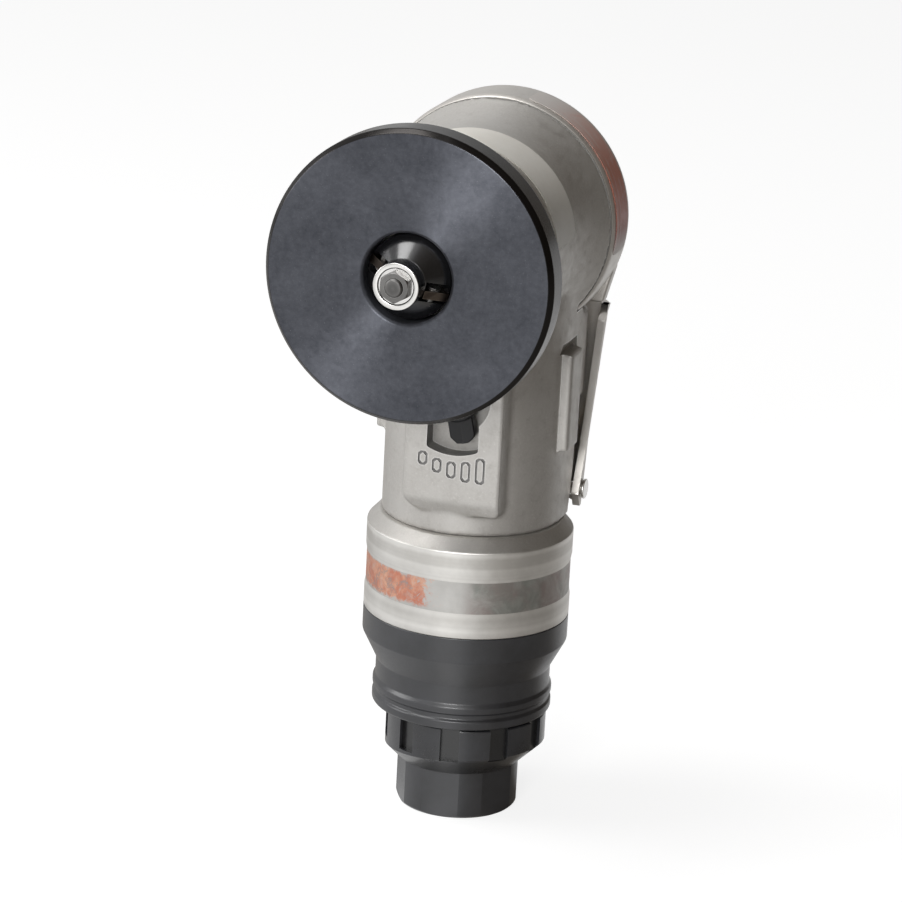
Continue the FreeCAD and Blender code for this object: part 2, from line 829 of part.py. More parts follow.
def cover_screws():
    """Give the socket screws that hold the cover."""
    screws = []
    head_front = cover_back - cover_screw_head_height
    for i in range(cover_screw_count):
        x, z = at_angle(cover_screw_circle, cover_screw_first_angle + FULL_TURN * i / cover_screw_count)
        z += head_axis_height
        shank = rod_y(cover_screw_diameter, rim_front - cover_screw_depth + seat_gap, head_front, x, z)
        head = rod_y(cover_screw_head_diameter, head_front, cover_back - seat_gap, x, z)
        socket = prism_y([(x + a, z + b) for a, b in hexagon(cover_socket_flats)],
                         cover_back - seat_gap - cover_socket_depth, cover_back + overrun)
        screws.append(joined([shank, head]).cut(socket))
    return Part.makeCompound(screws)


# Labels without print

def curved_label(radius, front, back, low_angle, high_angle):
    """Give a thin band on a drum between two angles, counted from +X upwards."""
    ring = Part.makeCylinder(radius + film, back - front, Vector(0, front, head_axis_height), BACK)
    core = Part.makeCylinder(radius, back - front + 2 * overrun,
                             Vector(0, front - overrun, head_axis_height), BACK)
    band = ring.cut(core)
    reach = 2 * radius
    fan = [Vector(0, front - overrun, head_axis_height)]
    for i in range(label_steps + 1):
        x, z = at_angle(reach, low_angle + (high_angle - low_angle) * i / label_steps)
        fan.append(Vector(x, front - overrun, head_axis_height + z))
    wedge = Part.Face(closed(fan)).extrude(BACK * (back - front + 2 * overrun))
    return band.common(wedge)


def nose_label():
    return curved_label(nose_diameter / 2, nose_label_front, flare_front - film,
                        nose_label_end_angle, HALF_TURN - nose_label_end_angle)


def rim_label():
    return curved_label(rim_diameter / 2, rim_label_front, rim_label_back,
                        rim_label_low_angle, rim_label_high_angle)


# Motor

def front_end_plate():
    x, z = at_angle(dowel_circle_radius, dowel_angle)
    plate = tube_y(motor_bore_diameter - 2 * seat_gap, spindle_front_diameter + 2 * running_gap,
                   stack_front, front_plate_back)
    hole = rod_y(dowel_diameter + 2 * fit_gap, front_plate_back - dowel_depth, front_plate_back + overrun,
                 x, head_axis_height + z)
    return plate.cut(hole)


def rear_end_plate():
    x, z = at_angle(dowel_circle_radius, dowel_angle)
    plate = tube_y(motor_bore_diameter - 2 * seat_gap, spindle_rear_diameter + 2 * running_gap,
                   cylinder_back, rear_plate_back)
    pocket = rod_y(rear_bearing_diameter + 2 * fit_gap, rear_bearing_front, rear_plate_back + overrun)
    hole = rod_y(dowel_diameter + 2 * fit_gap, cylinder_back - overrun, cylinder_back + dowel_depth,
                 x, head_axis_height + z)
    return plate.cut(pocket).cut(hole)


def motor_cylinder():
    """Give the cylinder with its bore set off the spindle's axis, an inlet and two outlets."""
    outer = rod_y(motor_bore_diameter - 2 * seat_gap, front_plate_back, cylinder_back)
    bore = rod_y(cylinder_bore_diameter, front_plate_back - overrun, cylinder_back + overrun,
                 0, head_axis_height + cylinder_offset)
    cylinder = outer.cut(bore)
    middle = (front_plate_back + cylinder_back) / 2
    for side in (1, 0, -1):
        place = side * exhaust_bore_side
        port = block(place - cylinder_port_width / 2, place + cylinder_port_width / 2,
                     middle - cylinder_port_length / 2, middle + cylinder_port_length / 2,
                     head_axis_height - motor_bore_diameter, head_axis_height)
        cylinder = cylinder.cut(port)
    x, z = at_angle(dowel_circle_radius, dowel_angle)
    hole = rod_y(dowel_diameter + 2 * fit_gap, front_plate_back - overrun, cylinder_back + overrun,
                 x, head_axis_height + z)
    return cylinder.cut(hole)


def locating_pin():
    x, z = at_angle(dowel_circle_radius, dowel_angle)
    return rod_y(dowel_diameter, front_plate_back - dowel_depth + seat_gap,
                 cylinder_back + dowel_depth - seat_gap, x, head_axis_height + z)


def vane_slot(width, outer, inner):
    half = width / 2
    return block(-half, half, front_plate_back + rotor_end_gap, cylinder_back - rotor_end_gap,
                 head_axis_height + inner, head_axis_height + outer)


def rotor():
    """Give the slotted rotor on the spindle."""
    radius = rotor_diameter / 2
    body = tube_y(rotor_diameter, spindle_rotor_diameter + 2 * fit_gap,
                  front_plate_back + rotor_end_gap, cylinder_back - rotor_end_gap)
    for slot in around(vane_slot(vane_slot_width, radius + overrun, radius - vane_slot_depth), vane_count):
        body = body.cut(slot)
    return body


def rotor_vanes():
    radius = rotor_diameter / 2
    vane = vane_slot(vane_slot_width - 2 * vane_side_gap, radius - fit_gap,
                     radius - vane_slot_depth + fit_gap)
    return Part.makeCompound(around(vane, vane_count))


def spindle():
    front = spindle_front_diameter / 2
    middle = spindle_rotor_diameter / 2
    rear = spindle_rear_diameter / 2
    step_front = front_plate_back + rotor_end_gap
    step_back = cylinder_back - rotor_end_gap
    return turned_y([(0, cutter_thread_end), (front, cutter_thread_end), (front, step_front),
                     (middle, step_front), (middle, step_back), (rear, step_back),
                     (rear, rear_plate_back), (0, rear_plate_back)])


def shaft_seal():
    return tube_y(seal_diameter - 2 * fit_gap, spindle_front_diameter + 2 * running_gap,
                  front_bearing_front - seat_gap - seal_thickness, front_bearing_front - seat_gap)


def wave_washer():
    outer = rear_bearing_diameter - 2 * fit_gap
    room = cover_back - cover_wall - rear_plate_back
    return tube_y(outer, outer - 2 * washer_width, rear_plate_back, rear_plate_back + min(washer_wire, room))


# Cutter

def cutter_shape():
    """Give the coned cutter as a plain turned body."""
    nose = cutter_nose_diameter / 2
    barrel = cutter_diameter / 2
    neck = cutter_neck_diameter / 2
    cone_front = pilot_back + pilot_seat_step
    cone_back = cone_front + (barrel - nose) / math.tan(math.radians(cutter_cone_angle))
    seat = pilot_stud_diameter / 2 + pilot_inner_wall
    return turned_y([(0, pilot_back), (seat, pilot_back), (seat, cone_front), (nose, cone_front),
                     (barrel, cone_back), (barrel, cutter_barrel_back - neck_edge),
                     (barrel - neck_edge, cutter_barrel_back), (neck, cutter_barrel_back),
                     (neck, cutter_back), (0, cutter_back)])


def insert_place(shape):
    """Lay a shape drawn in (along, depth) at the first insert's place on the cone."""
    nose = cutter_nose_diameter / 2
    barrel = cutter_diameter / 2
    cone_front = pilot_back + pilot_seat_step
    middle_radius = (nose + barrel) / 2
    middle_y = cone_front + (barrel - nose) / 2 / math.tan(math.radians(cutter_cone_angle))
    placed = shape.copy()
    placed.rotate(ORIGIN, UP, -cutter_cone_angle)
    placed.translate(Vector(middle_radius, middle_y, head_axis_height))
    return placed


def insert_blank():
    """Draw the insert flat: x is outwards from the cone, y runs along it, z is its thickness."""
    half = insert_length / 2
    return block(insert_proud - insert_width, insert_proud, -half, half, -insert_thickness, 0)


def insert_hole(diameter, low, high):
    middle = insert_proud - insert_width / 2
    return Part.makeCylinder(diameter / 2, high - low, Vector(middle, 0, low), UP)


def turned_to_inserts(shape):
    return around(insert_place(shape), insert_count, -insert_first_angle)


def cutter_body():
    """Give the black cutter with chip gullets, insert seats, flats and bores."""
    body = cutter_shape()
    half = insert_length / 2 + neck_edge
    gullet = block(insert_proud - insert_width - fit_gap, cutter_diameter,
                   -half, half + overrun, 0, gullet_width)
    seat = insert_blank()
    tap = insert_hole(insert_screw_diameter + 2 * fit_gap, -insert_screw_length - fit_gap, 0)
    for tool in turned_to_inserts(gullet) + turned_to_inserts(seat) + turned_to_inserts(tap):
        body = body.cut(tool)
    body = body.cut(rod_y(spindle_front_diameter + 2 * fit_gap, cutter_thread_end - seat_gap,
                          cutter_back + overrun))
    body = body.cut(rod_y(pilot_stud_diameter + 2 * fit_gap, pilot_back - overrun, cutter_thread_end))
    flat = cutter_neck_flats / 2
    for side in (1, -1):
        near, far = sorted((side * flat, side * cutter_diameter))
        body = body.cut(block(near, far, cutter_back - cutter_flat_length, cutter_back + overrun,
                              head_axis_height - cutter_diameter, head_axis_height + cutter_diameter))
    return body


def cutter_inserts():
    blank = insert_blank().cut(insert_hole(insert_screw_diameter + 2 * fit_gap,
                                           -insert_thickness - overrun, overrun))
    return Part.makeCompound(turned_to_inserts(blank))


def insert_screws():
    shank = insert_hole(insert_screw_diameter, -insert_screw_length, 0)
    head = insert_hole(insert_screw_head_diameter, 0, insert_screw_head_height)
    slot_half = insert_screw_slot / 2
    slot = block(-cutter_diameter, cutter_diameter, -slot_half, slot_half,
                 insert_screw_head_height / 2, insert_screw_head_height + overrun)
    return Part.makeCompound(turned_to_inserts(joined([shank, head]).cut(slot)))


# Pilot bearing

def pilot_pitch():
    """Give the radius on which the pilot bearing's balls run."""
    return (pilot_diameter / 2 - pilot_outer_wall + pilot_stud_diameter / 2 + pilot_inner_wall) / 2


def pilot_race():
    """Give the groove that both rings hold for the balls."""
    middle = Vector(0, (pilot_front + pilot_back) / 2, head_axis_height)
    return Part.makeTorus(pilot_pitch(), pilot_ball_diameter / 2 + fit_gap, middle, BACK)


def pilot_ring():
    outer = pilot_diameter / 2
    inner = outer - pilot_outer_wall
    edge = pilot_ring_edge
    ring = turned_y([(inner, pilot_front), (outer - edge, pilot_front), (outer, pilot_front + edge),
                     (outer, pilot_back - edge), (outer - edge, pilot_back), (inner, pilot_back)])
    return ring.cut(pilot_race())


def pilot_inner_ring():
    ring = tube_y(pilot_stud_diameter + 2 * pilot_inner_wall, pilot_stud_diameter + 2 * fit_gap,
                  pilot_front + pilot_shield_inset, pilot_back)
    return ring.cut(pilot_race())


def pilot_shield():
    """Give the thin washer that closes the bearing in front, fixed on the inner ring."""
    inner = pilot_stud_diameter + 2 * pilot_inner_wall
    outer = pilot_diameter - 2 * pilot_outer_wall - 2 * running_gap
    front = pilot_front + pilot_shield_inset
    return tube_y(outer, inner, front, front + pilot_shield_thickness)


def pilot_balls():
    place = Vector(pilot_pitch(), (pilot_front + pilot_back) / 2, head_axis_height)
    return Part.makeCompound(around(Part.makeSphere(pilot_ball_diameter / 2, place), pilot_ball_count))


def pilot_nut():
    front = pilot_front + pilot_shield_inset - pilot_nut_thickness
    back = pilot_front + pilot_shield_inset - fit_gap
    points = [(a, head_axis_height + b) for a, b in hexagon(pilot_nut_flats, FULL_TURN / HEX_SIDES / 2)]
    nut = prism_y(points, front, back)
    rounding = turned_y([(0, front), (pilot_nut_flats / 2, front),
                         (pilot_nut_flats / 2 + pilot_nut_thickness, front + pilot_nut_thickness),
                         (pilot_nut_flats / 2 + pilot_nut_thickness, back), (0, back)])
    bore = rod_y(pilot_stud_tip_diameter + 2 * fit_gap, front - overrun, back + overrun)
    return nut.common(rounding).cut(bore)


def pilot_stud():
    """Give the stud that carries the pilot bearing, proud of its nut."""
    shank = pilot_stud_diameter / 2
    tip = pilot_stud_tip_diameter / 2
    shoulder = pilot_front + pilot_shield_inset
    front = shoulder - pilot_nut_thickness - pilot_stud_proud
    return turned_y([(0, front), (tip - pilot_stud_tip_edge, front), (tip, front + pilot_stud_tip_edge),
                     (tip, shoulder), (shank, shoulder), (shank, cutter_thread_end - seat_gap - fit_gap),
                     (0, cutter_thread_end - seat_gap - fit_gap)])


# Guide plate and its adjustment

def key_body(gap):
    """Give the key on top of the neck that stops the guide plate from turning."""
    half = plate_key_width / 2 + gap
    top = neck_diameter / 2 + plate_key_height
    front = neck_front + neck_edge + seat_gap
    return block(-half, half, front, front + plate_key_length,
                 head_axis_height + neck_diameter / 2 - plate_key_height, head_axis_height + top)


def plate_key():
    return key_body(0)


def guide_plate():
    """Give the guide plate with its mouth, bevelled rim and sliding hub."""
    face = plate_face_diameter / 2
    rim = face + plate_edge
    mouth = plate_mouth_diameter / 2
    slide = neck_diameter / 2 + running_gap
    hub = slide + plate_hub_wall
    web_back = plate_face + plate_web
    plate = turned_y([(mouth, plate_face + plate_mouth_edge), (mouth + plate_mouth_edge, plate_face),
                      (face, plate_face), (rim, plate_face + plate_edge_depth),
                      (rim, plate_back - plate_edge), (rim - plate_edge, plate_back), (hub, plate_back),
                      (hub, hub_end), (slide, hub_end), (slide, web_back), (mouth, web_back)])
    half = plate_key_width / 2 + running_gap
    keyway = block(-half, half, web_back, hub_end + overrun, head_axis_height,
                   head_axis_height + neck_diameter / 2 + plate_key_height + running_gap)
    return plate.cut(keyway)


def adjusting_ring():
    """Give the knurled ring that drives the guide plate in and out."""
    outer = ring_diameter / 2
    lip_front = hub_end + plate_travel + free_gap
    thread = neck_diameter / 2 + running_gap + plate_hub_wall + running_gap
    lip = neck_diameter / 2 + running_gap
    ring = turned_y([(thread, ring_front), (outer - ring_edge, ring_front), (outer, ring_front + ring_edge),
                     (outer, ring_back - ring_edge), (outer - ring_edge, ring_back), (lip, ring_back),
                     (lip, lip_front), (thread, lip_front)])
    groove = rod_y(ring_knurl_diameter, ring_front - overrun, ring_back + overrun, outer, head_axis_height)
    for cut in around(groove, ring_knurl_count):
        ring = ring.cut(cut)
    return ring.cut(ring_radial_rod(ring_screw_diameter + 2 * fit_gap, lip - overrun, outer + overrun))


def ring_radial_rod(diameter, start, end):
    """Give a rod that crosses the ring's lip between two radii."""
    middle = (ring_back + hub_end + plate_travel + free_gap) / 2
    rod = Part.makeCylinder(diameter / 2, end - start, Vector(start, middle, head_axis_height), RIGHT)
    return spun(rod, -ring_screw_angle)


def ring_lock_screw():
    """Give the socket screw whose tip runs in the neck's groove."""
    start = neck_diameter / 2 - neck_groove_depth + running_gap
    end = ring_diameter / 2 - ring_knurl_diameter
    socket = ring_radial_rod(ring_screw_diameter / 2, end - ring_screw_diameter / 2, end + overrun)
    return ring_radial_rod(ring_screw_diameter, start, end).cut(socket)


# Regulator

def regulator_lever():
    """Give the black hub with fine rings on its edge and its pointing lever."""
    radius = hub_radius
    front = pad_front - hub_stand_off
    back = front + hub_thickness
    outline = [(0, front), (radius - hub_edge, front), (radius, front + hub_edge)]
    pitch = (hub_thickness - 2 * hub_edge) / hub_thread_count
    for i in range(hub_thread_count):
        high = front + hub_edge + (i + 1) * pitch
        outline.append((radius, high - 2 * hub_thread_depth))
        outline.append((radius - hub_thread_depth, high - hub_thread_depth))
        outline.append((radius, high))
    outline += [(radius, back), (0, back)]
    hub = turned_y(outline, regulator_height, pad_shift)
    half = regulator_arm_width / 2
    tip = regulator_height - regulator_arm_reach
    corner = regulator_arm_corner
    arm = prism_y([(pad_shift - half, regulator_height), (pad_shift - half, tip + corner),
                   (pad_shift - half + corner, tip), (pad_shift + half - corner, tip),
                   (pad_shift + half, tip + corner), (pad_shift + half, regulator_height)],
                  back - regulator_arm_thickness, back)
    arm.rotate(Vector(pad_shift, back, regulator_height), BACK, -regulator_arm_angle)
    body = joined([hub, arm])
    screw_room = rod_y(regulator_screw_diameter + 2 * fit_gap, front - overrun, back + overrun,
                       pad_shift, regulator_height)
    sink = rod_y(regulator_screw_head_diameter + 2 * seat_gap, front - overrun,
                 front + regulator_screw_head_height, pad_shift, regulator_height)
    return body.cut(screw_room).cut(sink)


def regulator_stem():
    """Give the brass plug whose cross hole meters the air."""
    front = regulator_stem_front
    stem = rod_y(regulator_stem_diameter, front, regulator_stem_end, pad_shift, regulator_height)
    port = rod_z(regulator_port_diameter, regulator_height - regulator_stem_diameter,
                 regulator_height + regulator_stem_diameter)
    screw = rod_y(regulator_screw_diameter + 2 * fit_gap, front - overrun,
                  front - hub_thickness + regulator_screw_length + seat_gap, pad_shift, regulator_height)
    groove_front = handle_front + oring_wire + recess_depth
    groove = tube_y(regulator_stem_diameter + overrun, regulator_stem_diameter - oring_wire,
                    groove_front, groove_front + oring_wire, pad_shift, regulator_height)
    return stem.cut(port).cut(screw).cut(groove)


def regulator_oring():
    groove_front = handle_front + oring_wire + recess_depth
    return tube_y(regulator_stem_diameter, regulator_stem_diameter - oring_wire + 2 * fit_gap,
                  groove_front + fit_gap, groove_front + oring_wire - fit_gap, pad_shift, regulator_height)


def regulator_screw():
    front = pad_front - hub_stand_off
    head = rod_y(regulator_screw_head_diameter, front, front + regulator_screw_head_height,
                 pad_shift, regulator_height)
    shank = rod_y(regulator_screw_diameter, front, front + regulator_screw_length,
                  pad_shift, regulator_height)
    half = regulator_screw_slot / 2
    slot = block(pad_shift - hub_radius, pad_shift + hub_radius, front - overrun,
                 front + regulator_screw_head_height / 2, regulator_height - half, regulator_height + half)
    return joined([head, shank]).cut(slot)


# Throttle lever

def lever_section(half, front, back, corner, z):
    """Give a closed wire, square in front and rounded behind."""
    diagonal = corner * (1 - math.sqrt(2) / 2)
    edges = [Part.makeLine(Vector(-half, front, z), Vector(half, front, z)),
             Part.makeLine(Vector(half, front, z), Vector(half, back - corner, z)),
             Part.Arc(Vector(half, back - corner, z), Vector(half - diagonal, back - diagonal, z),
                      Vector(half - corner, back, z)).toShape(),
             Part.makeLine(Vector(half - corner, back, z), Vector(-half + corner, back, z)),
             Part.Arc(Vector(-half + corner, back, z), Vector(-half + diagonal, back - diagonal, z),
                      Vector(-half, back - corner, z)).toShape(),
             Part.makeLine(Vector(-half, back - corner, z), Vector(-half, front, z))]
    return Part.Wire(edges)


def lever_blank(wall, end):
    """Give the lever's outer form, or its hollow when a wall is taken off."""
    slope = (lever_top_width - lever_bottom_width) / (lever_top - lever_bottom) / 2
    lean_low = (lever_back_knee - lever_back_bottom) / (lever_knee - lever_bottom)
    lean_high = (lever_back_top - lever_back_knee) / (lever_top - lever_knee)
    front = handle_front_centre
    stations = [(lever_bottom - end, lever_back_bottom - lean_low * end),
                (lever_knee, lever_back_knee),
                (lever_top + end, lever_back_top + lean_high * end)]
    wires = []
    for z, back in stations:
        half = lever_bottom_width / 2 + slope * (z - lever_bottom) - wall
        wires.append(lever_section(half, front - end, back - wall, lever_round - wall, z))
    return Part.makeLoft(wires, True, True)


def throttle_lever():
    """Give the bent channel lever with slanted flange edges and pin holes."""
    lever = lever_blank(0, 0).cut(lever_blank(lever_wall, overrun))
    reach = lever_top_width
    ahead = prism_x([(-reach, lever_bottom - overrun), (lever_front_bottom, lever_bottom - overrun),
                     (lever_front_bottom, lever_bottom), (lever_front_knee, lever_knee),
                     (lever_front_top, lever_top), (lever_front_top, lever_top + overrun),
                     (-reach, lever_top + overrun)], -reach, reach)
    toe = lever_toe_round
    low_toe = prism_x([(0, lever_bottom - overrun), (lever_front_bottom + toe, lever_bottom - overrun),
                       (lever_front_bottom + toe, lever_bottom), (lever_front_bottom, lever_bottom + toe),
                       (0, lever_bottom + toe)], -reach, reach)
    high_toe = prism_x([(0, lever_top + overrun), (lever_front_top + toe, lever_top + overrun),
                        (lever_front_top + toe, lever_top), (lever_front_top, lever_top - toe),
                        (0, lever_top - toe)], -reach, reach)
    holes = rod_x(lever_pin_diameter + 2 * running_gap, -reach, reach, lever_pivot_back, lever_pivot_height)
    return lever.cut(ahead).cut(low_toe).cut(high_toe).cut(holes)


def lever_pin():
    """Give the pin with a low head outside each flange."""
    slope = (lever_top_width - lever_bottom_width) / (lever_top - lever_bottom) / 2
    half = lever_bottom_width / 2 + slope * (lever_pivot_height + lever_pin_head_diameter - lever_bottom)
    under = half + running_gap
    pin = rod_x(lever_pin_diameter, -under, under, lever_pivot_back, lever_pivot_height)
    over = under + lever_pin_head
    heads = [rod_x(lever_pin_head_diameter, under, over, lever_pivot_back, lever_pivot_height),
             rod_x(lever_pin_head_diameter, -over, -under, lever_pivot_back, lever_pivot_height)]
    return joined([pin] + heads)


# Throttle valve

def lever_inside_at_valve():
    """Give the lever's inner face on the valve's axis."""
    share = (valve_height - lever_knee) / (lever_top - lever_knee)
    return lever_back_knee + share * (lever_back_top - lever_back_knee) - lever_wall


def valve_bushing():
    """Give the brass bushing with its flange, bore and cross ports."""
    flange_back = handle_back + bushing_flange
    bushing = joined([rod_y(bushing_diameter, bushing_front, handle_back, 0, valve_height),
                      rod_y(bushing_flange_diameter, handle_back, flange_back, 0, valve_height)])
    bore = rod_y(bushing_bore_diameter, bushing_front + bushing_flange, flange_back + overrun,
                 0, valve_height)
    port = rod_z(valve_port_diameter, valve_height - bushing_diameter, valve_height + bushing_diameter)
    return bushing.cut(bore).cut(port)


def valve_plunger():
    """Give the plunger with its o-ring groove, domed towards the lever."""
    body = bushing_bore_diameter / 2 - running_gap
    cap = plunger_cap_diameter / 2
    back = lever_inside_at_valve() - plunger_gap
    groove = plunger_oring_place
    neck = body - oring_wire / 2
    dome = plunger_dome * (1 - math.sqrt(2) / 2)
    return turned_y([(0, plunger_front), (body, plunger_front), (body, groove), (neck, groove),
                     (neck, groove + oring_wire), (body, groove + oring_wire), (body, handle_back),
                     (cap, handle_back), (cap, back - plunger_dome), (cap - dome, back - dome),
                     (cap - plunger_dome, back), (0, back)], valve_height)


def valve_oring():
    body = bushing_bore_diameter / 2 - running_gap
    return tube_y(2 * body, 2 * body - oring_wire + 2 * fit_gap, plunger_oring_place + fit_gap,
                  plunger_oring_place + oring_wire - fit_gap, 0, valve_height)


def valve_spring():
    """Give the return spring at its pressed length, as one unbroken wire."""
    start = bushing_front + bushing_flange + spring_wire
    end = plunger_front - plunger_press() - spring_wire
    radius = bushing_bore_diameter / 2 - spring_radial_gap - spring_wire / 2
    return coil(radius, start, end, spring_turns, spring_wire)


def plunger_press():
    """Give how far the lever drives the plunger."""
    return (valve_height - lever_pivot_height) * math.tan(math.radians(lever_swing))


def coil_gap(radius, rise, turns, wire):
    """Measure the least gap between points of the wire that lie more than a half turn apart."""
    places = [(math.pi / 2 * i / coil_samples, rise * i / coil_samples)
              for i in range(QUARTERS * turns * coil_samples + 1)]
    half = QUARTERS * coil_samples // 2
    gaps = []
    for i, (turn, along) in enumerate(places):
        for other_turn, other_along in places[i + half:]:
            across = 2 * radius * abs(math.sin((other_turn - turn) / 2))
            gaps.append(math.hypot(across, other_along - along) - wire)
    return min(gaps)


def coil(radius, start, end, turns, wire):
    """Sweep a wire along a helix about the valve's axis, written as arcs of a quarter turn."""
    steps = QUARTERS * turns
    rise = (end - start) / steps

    def place(quarter):
        angle = math.pi / 2 * quarter
        height = valve_height + radius * math.sin(angle)
        return Vector(radius * math.cos(angle), start + rise * quarter, height)

    path = Part.Wire([Part.Arc(place(i), place(i + 1 / 2), place(i + 1)).toShape() for i in range(steps)])
    tangent = Vector(0, rise, radius * math.pi / 2)
    profile = Part.Wire(Part.Circle(place(0), tangent, wire / 2).toShape())
    shell = Part.BRepOffsetAPI.MakePipeShell(path)
    shell.add(profile)
    shell.build()
    shell.makeSolid()
    print(f"valve spring gap {coil_gap(radius, rise, turns, wire):.3f}")
    return shell.shape()


# Collar, exhaust housing and deflector

def handle_collar():
    """Give the turned collar with a coned shoulder and a shallow bare band."""
    outer = collar_diameter / 2
    band = outer - collar_band_depth
    shoulder = collar_shoulder_diameter / 2
    thread = collar_thread_diameter / 2 + fit_gap
    socket = outer - exhaust_wall - fit_gap
    socket_top = collar_bottom + exhaust_spigot + seat_gap
    edge = collar_band_depth
    return turned_z([(socket, collar_bottom), (outer, collar_bottom), (outer, collar_band_bottom - edge),
                     (band, collar_band_bottom), (band, collar_band_top), (outer, collar_band_top + edge),
                     (outer, collar_top_edge), (shoulder, handle_bottom), (thread, handle_bottom),
                     (thread, socket_top), (socket, socket_top)])


def exhaust_housing():
    """Give the black housing: collar seat, taper, barrel, two ridges and a drilled floor."""
    outer = collar_diameter / 2
    barrel = exhaust_barrel_diameter / 2
    ridge = ridge_diameter / 2
    edge = ridge_edge
    inner = barrel - exhaust_wall
    spigot = outer - exhaust_wall - 2 * fit_gap
    spigot_top = collar_bottom + exhaust_spigot
    stem = stem_diameter / 2 + fit_gap
    floor = exhaust_bottom + exhaust_floor
    body = turned_z([(stem, exhaust_bottom), (ridge - edge, exhaust_bottom), (ridge, exhaust_bottom + edge),
                     (ridge, ridge_low_top - edge), (barrel, ridge_low_top), (barrel, ridge_high_bottom),
                     (ridge, ridge_high_bottom + edge), (ridge, ridge_high_top - edge),
                     (barrel, ridge_high_top + edge), (barrel, exhaust_taper_bottom),
                     (outer, exhaust_taper_top), (outer, collar_bottom), (spigot, collar_bottom),
                     (spigot, spigot_top), (inner, spigot_top), (inner, floor), (stem, floor)])
    hole = rod_z(exhaust_hole_diameter, exhaust_bottom - overrun, floor + overrun, exhaust_hole_circle)
    for cut in around(hole, exhaust_hole_count, 0, ORIGIN, UP):
        body = body.cut(cut)
    return body


def silencer_felt():
    inner = exhaust_barrel_diameter - 2 * exhaust_wall - 2 * running_gap
    low = exhaust_bottom + exhaust_floor + seat_gap
    return tube_z(inner, felt_bore_diameter, low, collar_bottom)


def deflector_centre():
    angle = math.radians(deflector_angle)
    return deflector_offset * math.cos(angle), deflector_offset * math.sin(angle)


def exhaust_deflector():
    """Give the off-centre drum, coned below, with channels in front and windows behind."""
    x, y = deflector_centre()
    top = exhaust_bottom - deflector_top_gap
    skirt = inlet_diameter / 2 + running_gap
    foot = skirt + deflector_skirt_wall
    drum = rod_z(deflector_diameter, deflector_bottom, top, x, y)
    cone = turned_z([(0, deflector_bottom), (foot, deflector_bottom),
                     (foot + top - deflector_bottom, top), (0, top)])
    body = drum.common(cone)
    journal = journal_diameter / 2 + running_gap
    bore = turned_z([(0, deflector_bottom - overrun), (skirt, deflector_bottom - overrun),
                     (skirt, hexagon_height + running_gap), (journal, hexagon_height + running_gap),
                     (journal, deflector_shelf), (journal, top + overrun), (0, top + overrun)])
    chamber = tube_z(deflector_chamber_diameter, 2 * (journal + deflector_sleeve_wall),
                     deflector_shelf, top + overrun)
    body = body.cut(bore).cut(chamber)
    for i in range(deflector_slot_count):
        body = body.cut(slot_tool(deflector_slot_first + i * deflector_slot_pitch, x, y))
    for i in range(deflector_window_count):
        body = body.cut(window_tool(deflector_window_first + i * deflector_slot_pitch, x, y))
    return body


def slot_tool(angle, x, y):
    """Give the shallow outer channel above the lip."""
    radius = deflector_diameter / 2
    half = deflector_slot_width / 2
    tool = block(radius - deflector_slot_depth, radius + overrun, -half, half,
                 deflector_shelf, exhaust_bottom)
    tool.translate(Vector(x, y, 0))
    return spun(tool, angle, Vector(x, y, 0), UP)


def window_tool(angle, x, y):
    """Give the window through the wall, where the exhaust air leaves."""
    half = deflector_slot_width / 2
    tool = block(deflector_chamber_diameter / 2 - overrun, deflector_diameter, -half, half,
                 deflector_window_bottom, deflector_window_top)
    tool.translate(Vector(x, y, 0))
    return spun(tool, angle, Vector(x, y, 0), UP)


def deflector_oring():
    low = hexagon_height + 2 * running_gap
    groove = journal_diameter - oring_wire
    return tube_z(journal_diameter, groove + 2 * fit_gap, low + fit_gap, low + oring_wire - fit_gap)


# Inlet

def inlet_bushing():
    """Give the bushing: hexagon, journal for the deflector, stem and threaded inlet."""
    corner = inlet_diameter / 2
    journal = journal_diameter / 2
    stem = stem_diameter / 2
    groove = journal - oring_wire / 2
    groove_low = hexagon_height + 2 * running_gap
    thread = inlet_thread_diameter / 2
    air = air_bore_diameter / 2
    seat = strainer_seat_diameter / 2
    strainer_top = inlet_thread_length + strainer_thickness
    groove_top = groove_low + oring_wire
    solid = turned_z([(thread, 0), (corner - inlet_edge, 0), (corner, inlet_edge),
                      (corner, hexagon_height), (journal, hexagon_height), (journal, groove_low),
                      (groove, groove_low), (groove, groove_top), (journal, groove_top),
                      (journal, journal_top), (stem, journal_top), (stem, stem_top), (air, stem_top),
                      (air, strainer_top), (seat, strainer_top), (seat, inlet_thread_length),
                      (thread, inlet_thread_length)])
    flat = block(inlet_flats / 2, inlet_diameter, -inlet_diameter, inlet_diameter,
                 -overrun, hexagon_height)
    for cut in around(flat, HEX_SIDES, FULL_TURN / HEX_SIDES / 2, ORIGIN, UP):
        solid = solid.cut(cut)
    groove_cut = tube_z(stem_diameter + overrun, stem_diameter - oring_wire,
                        stem_oring_height, stem_oring_height + oring_wire)
    return solid.cut(groove_cut)


def inlet_strainer():
    """Give the drilled disc that keeps dirt out of the valve."""
    low = inlet_thread_length
    disc = rod_z(strainer_seat_diameter - 2 * fit_gap, low, low + strainer_thickness - fit_gap)
    centre_hole = rod_z(strainer_hole_diameter, low - overrun, low + overrun)
    outer_hole = rod_z(strainer_hole_diameter, low - overrun, low + overrun, strainer_hole_circle)
    for hole in around(outer_hole, strainer_hole_count, 0, ORIGIN, UP) + [centre_hole]:
        disc = disc.cut(hole)
    return disc


def inlet_oring():
    return tube_z(stem_diameter, stem_diameter - oring_wire + 2 * fit_gap,
                  stem_oring_height + fit_gap, stem_oring_height + oring_wire - fit_gap)


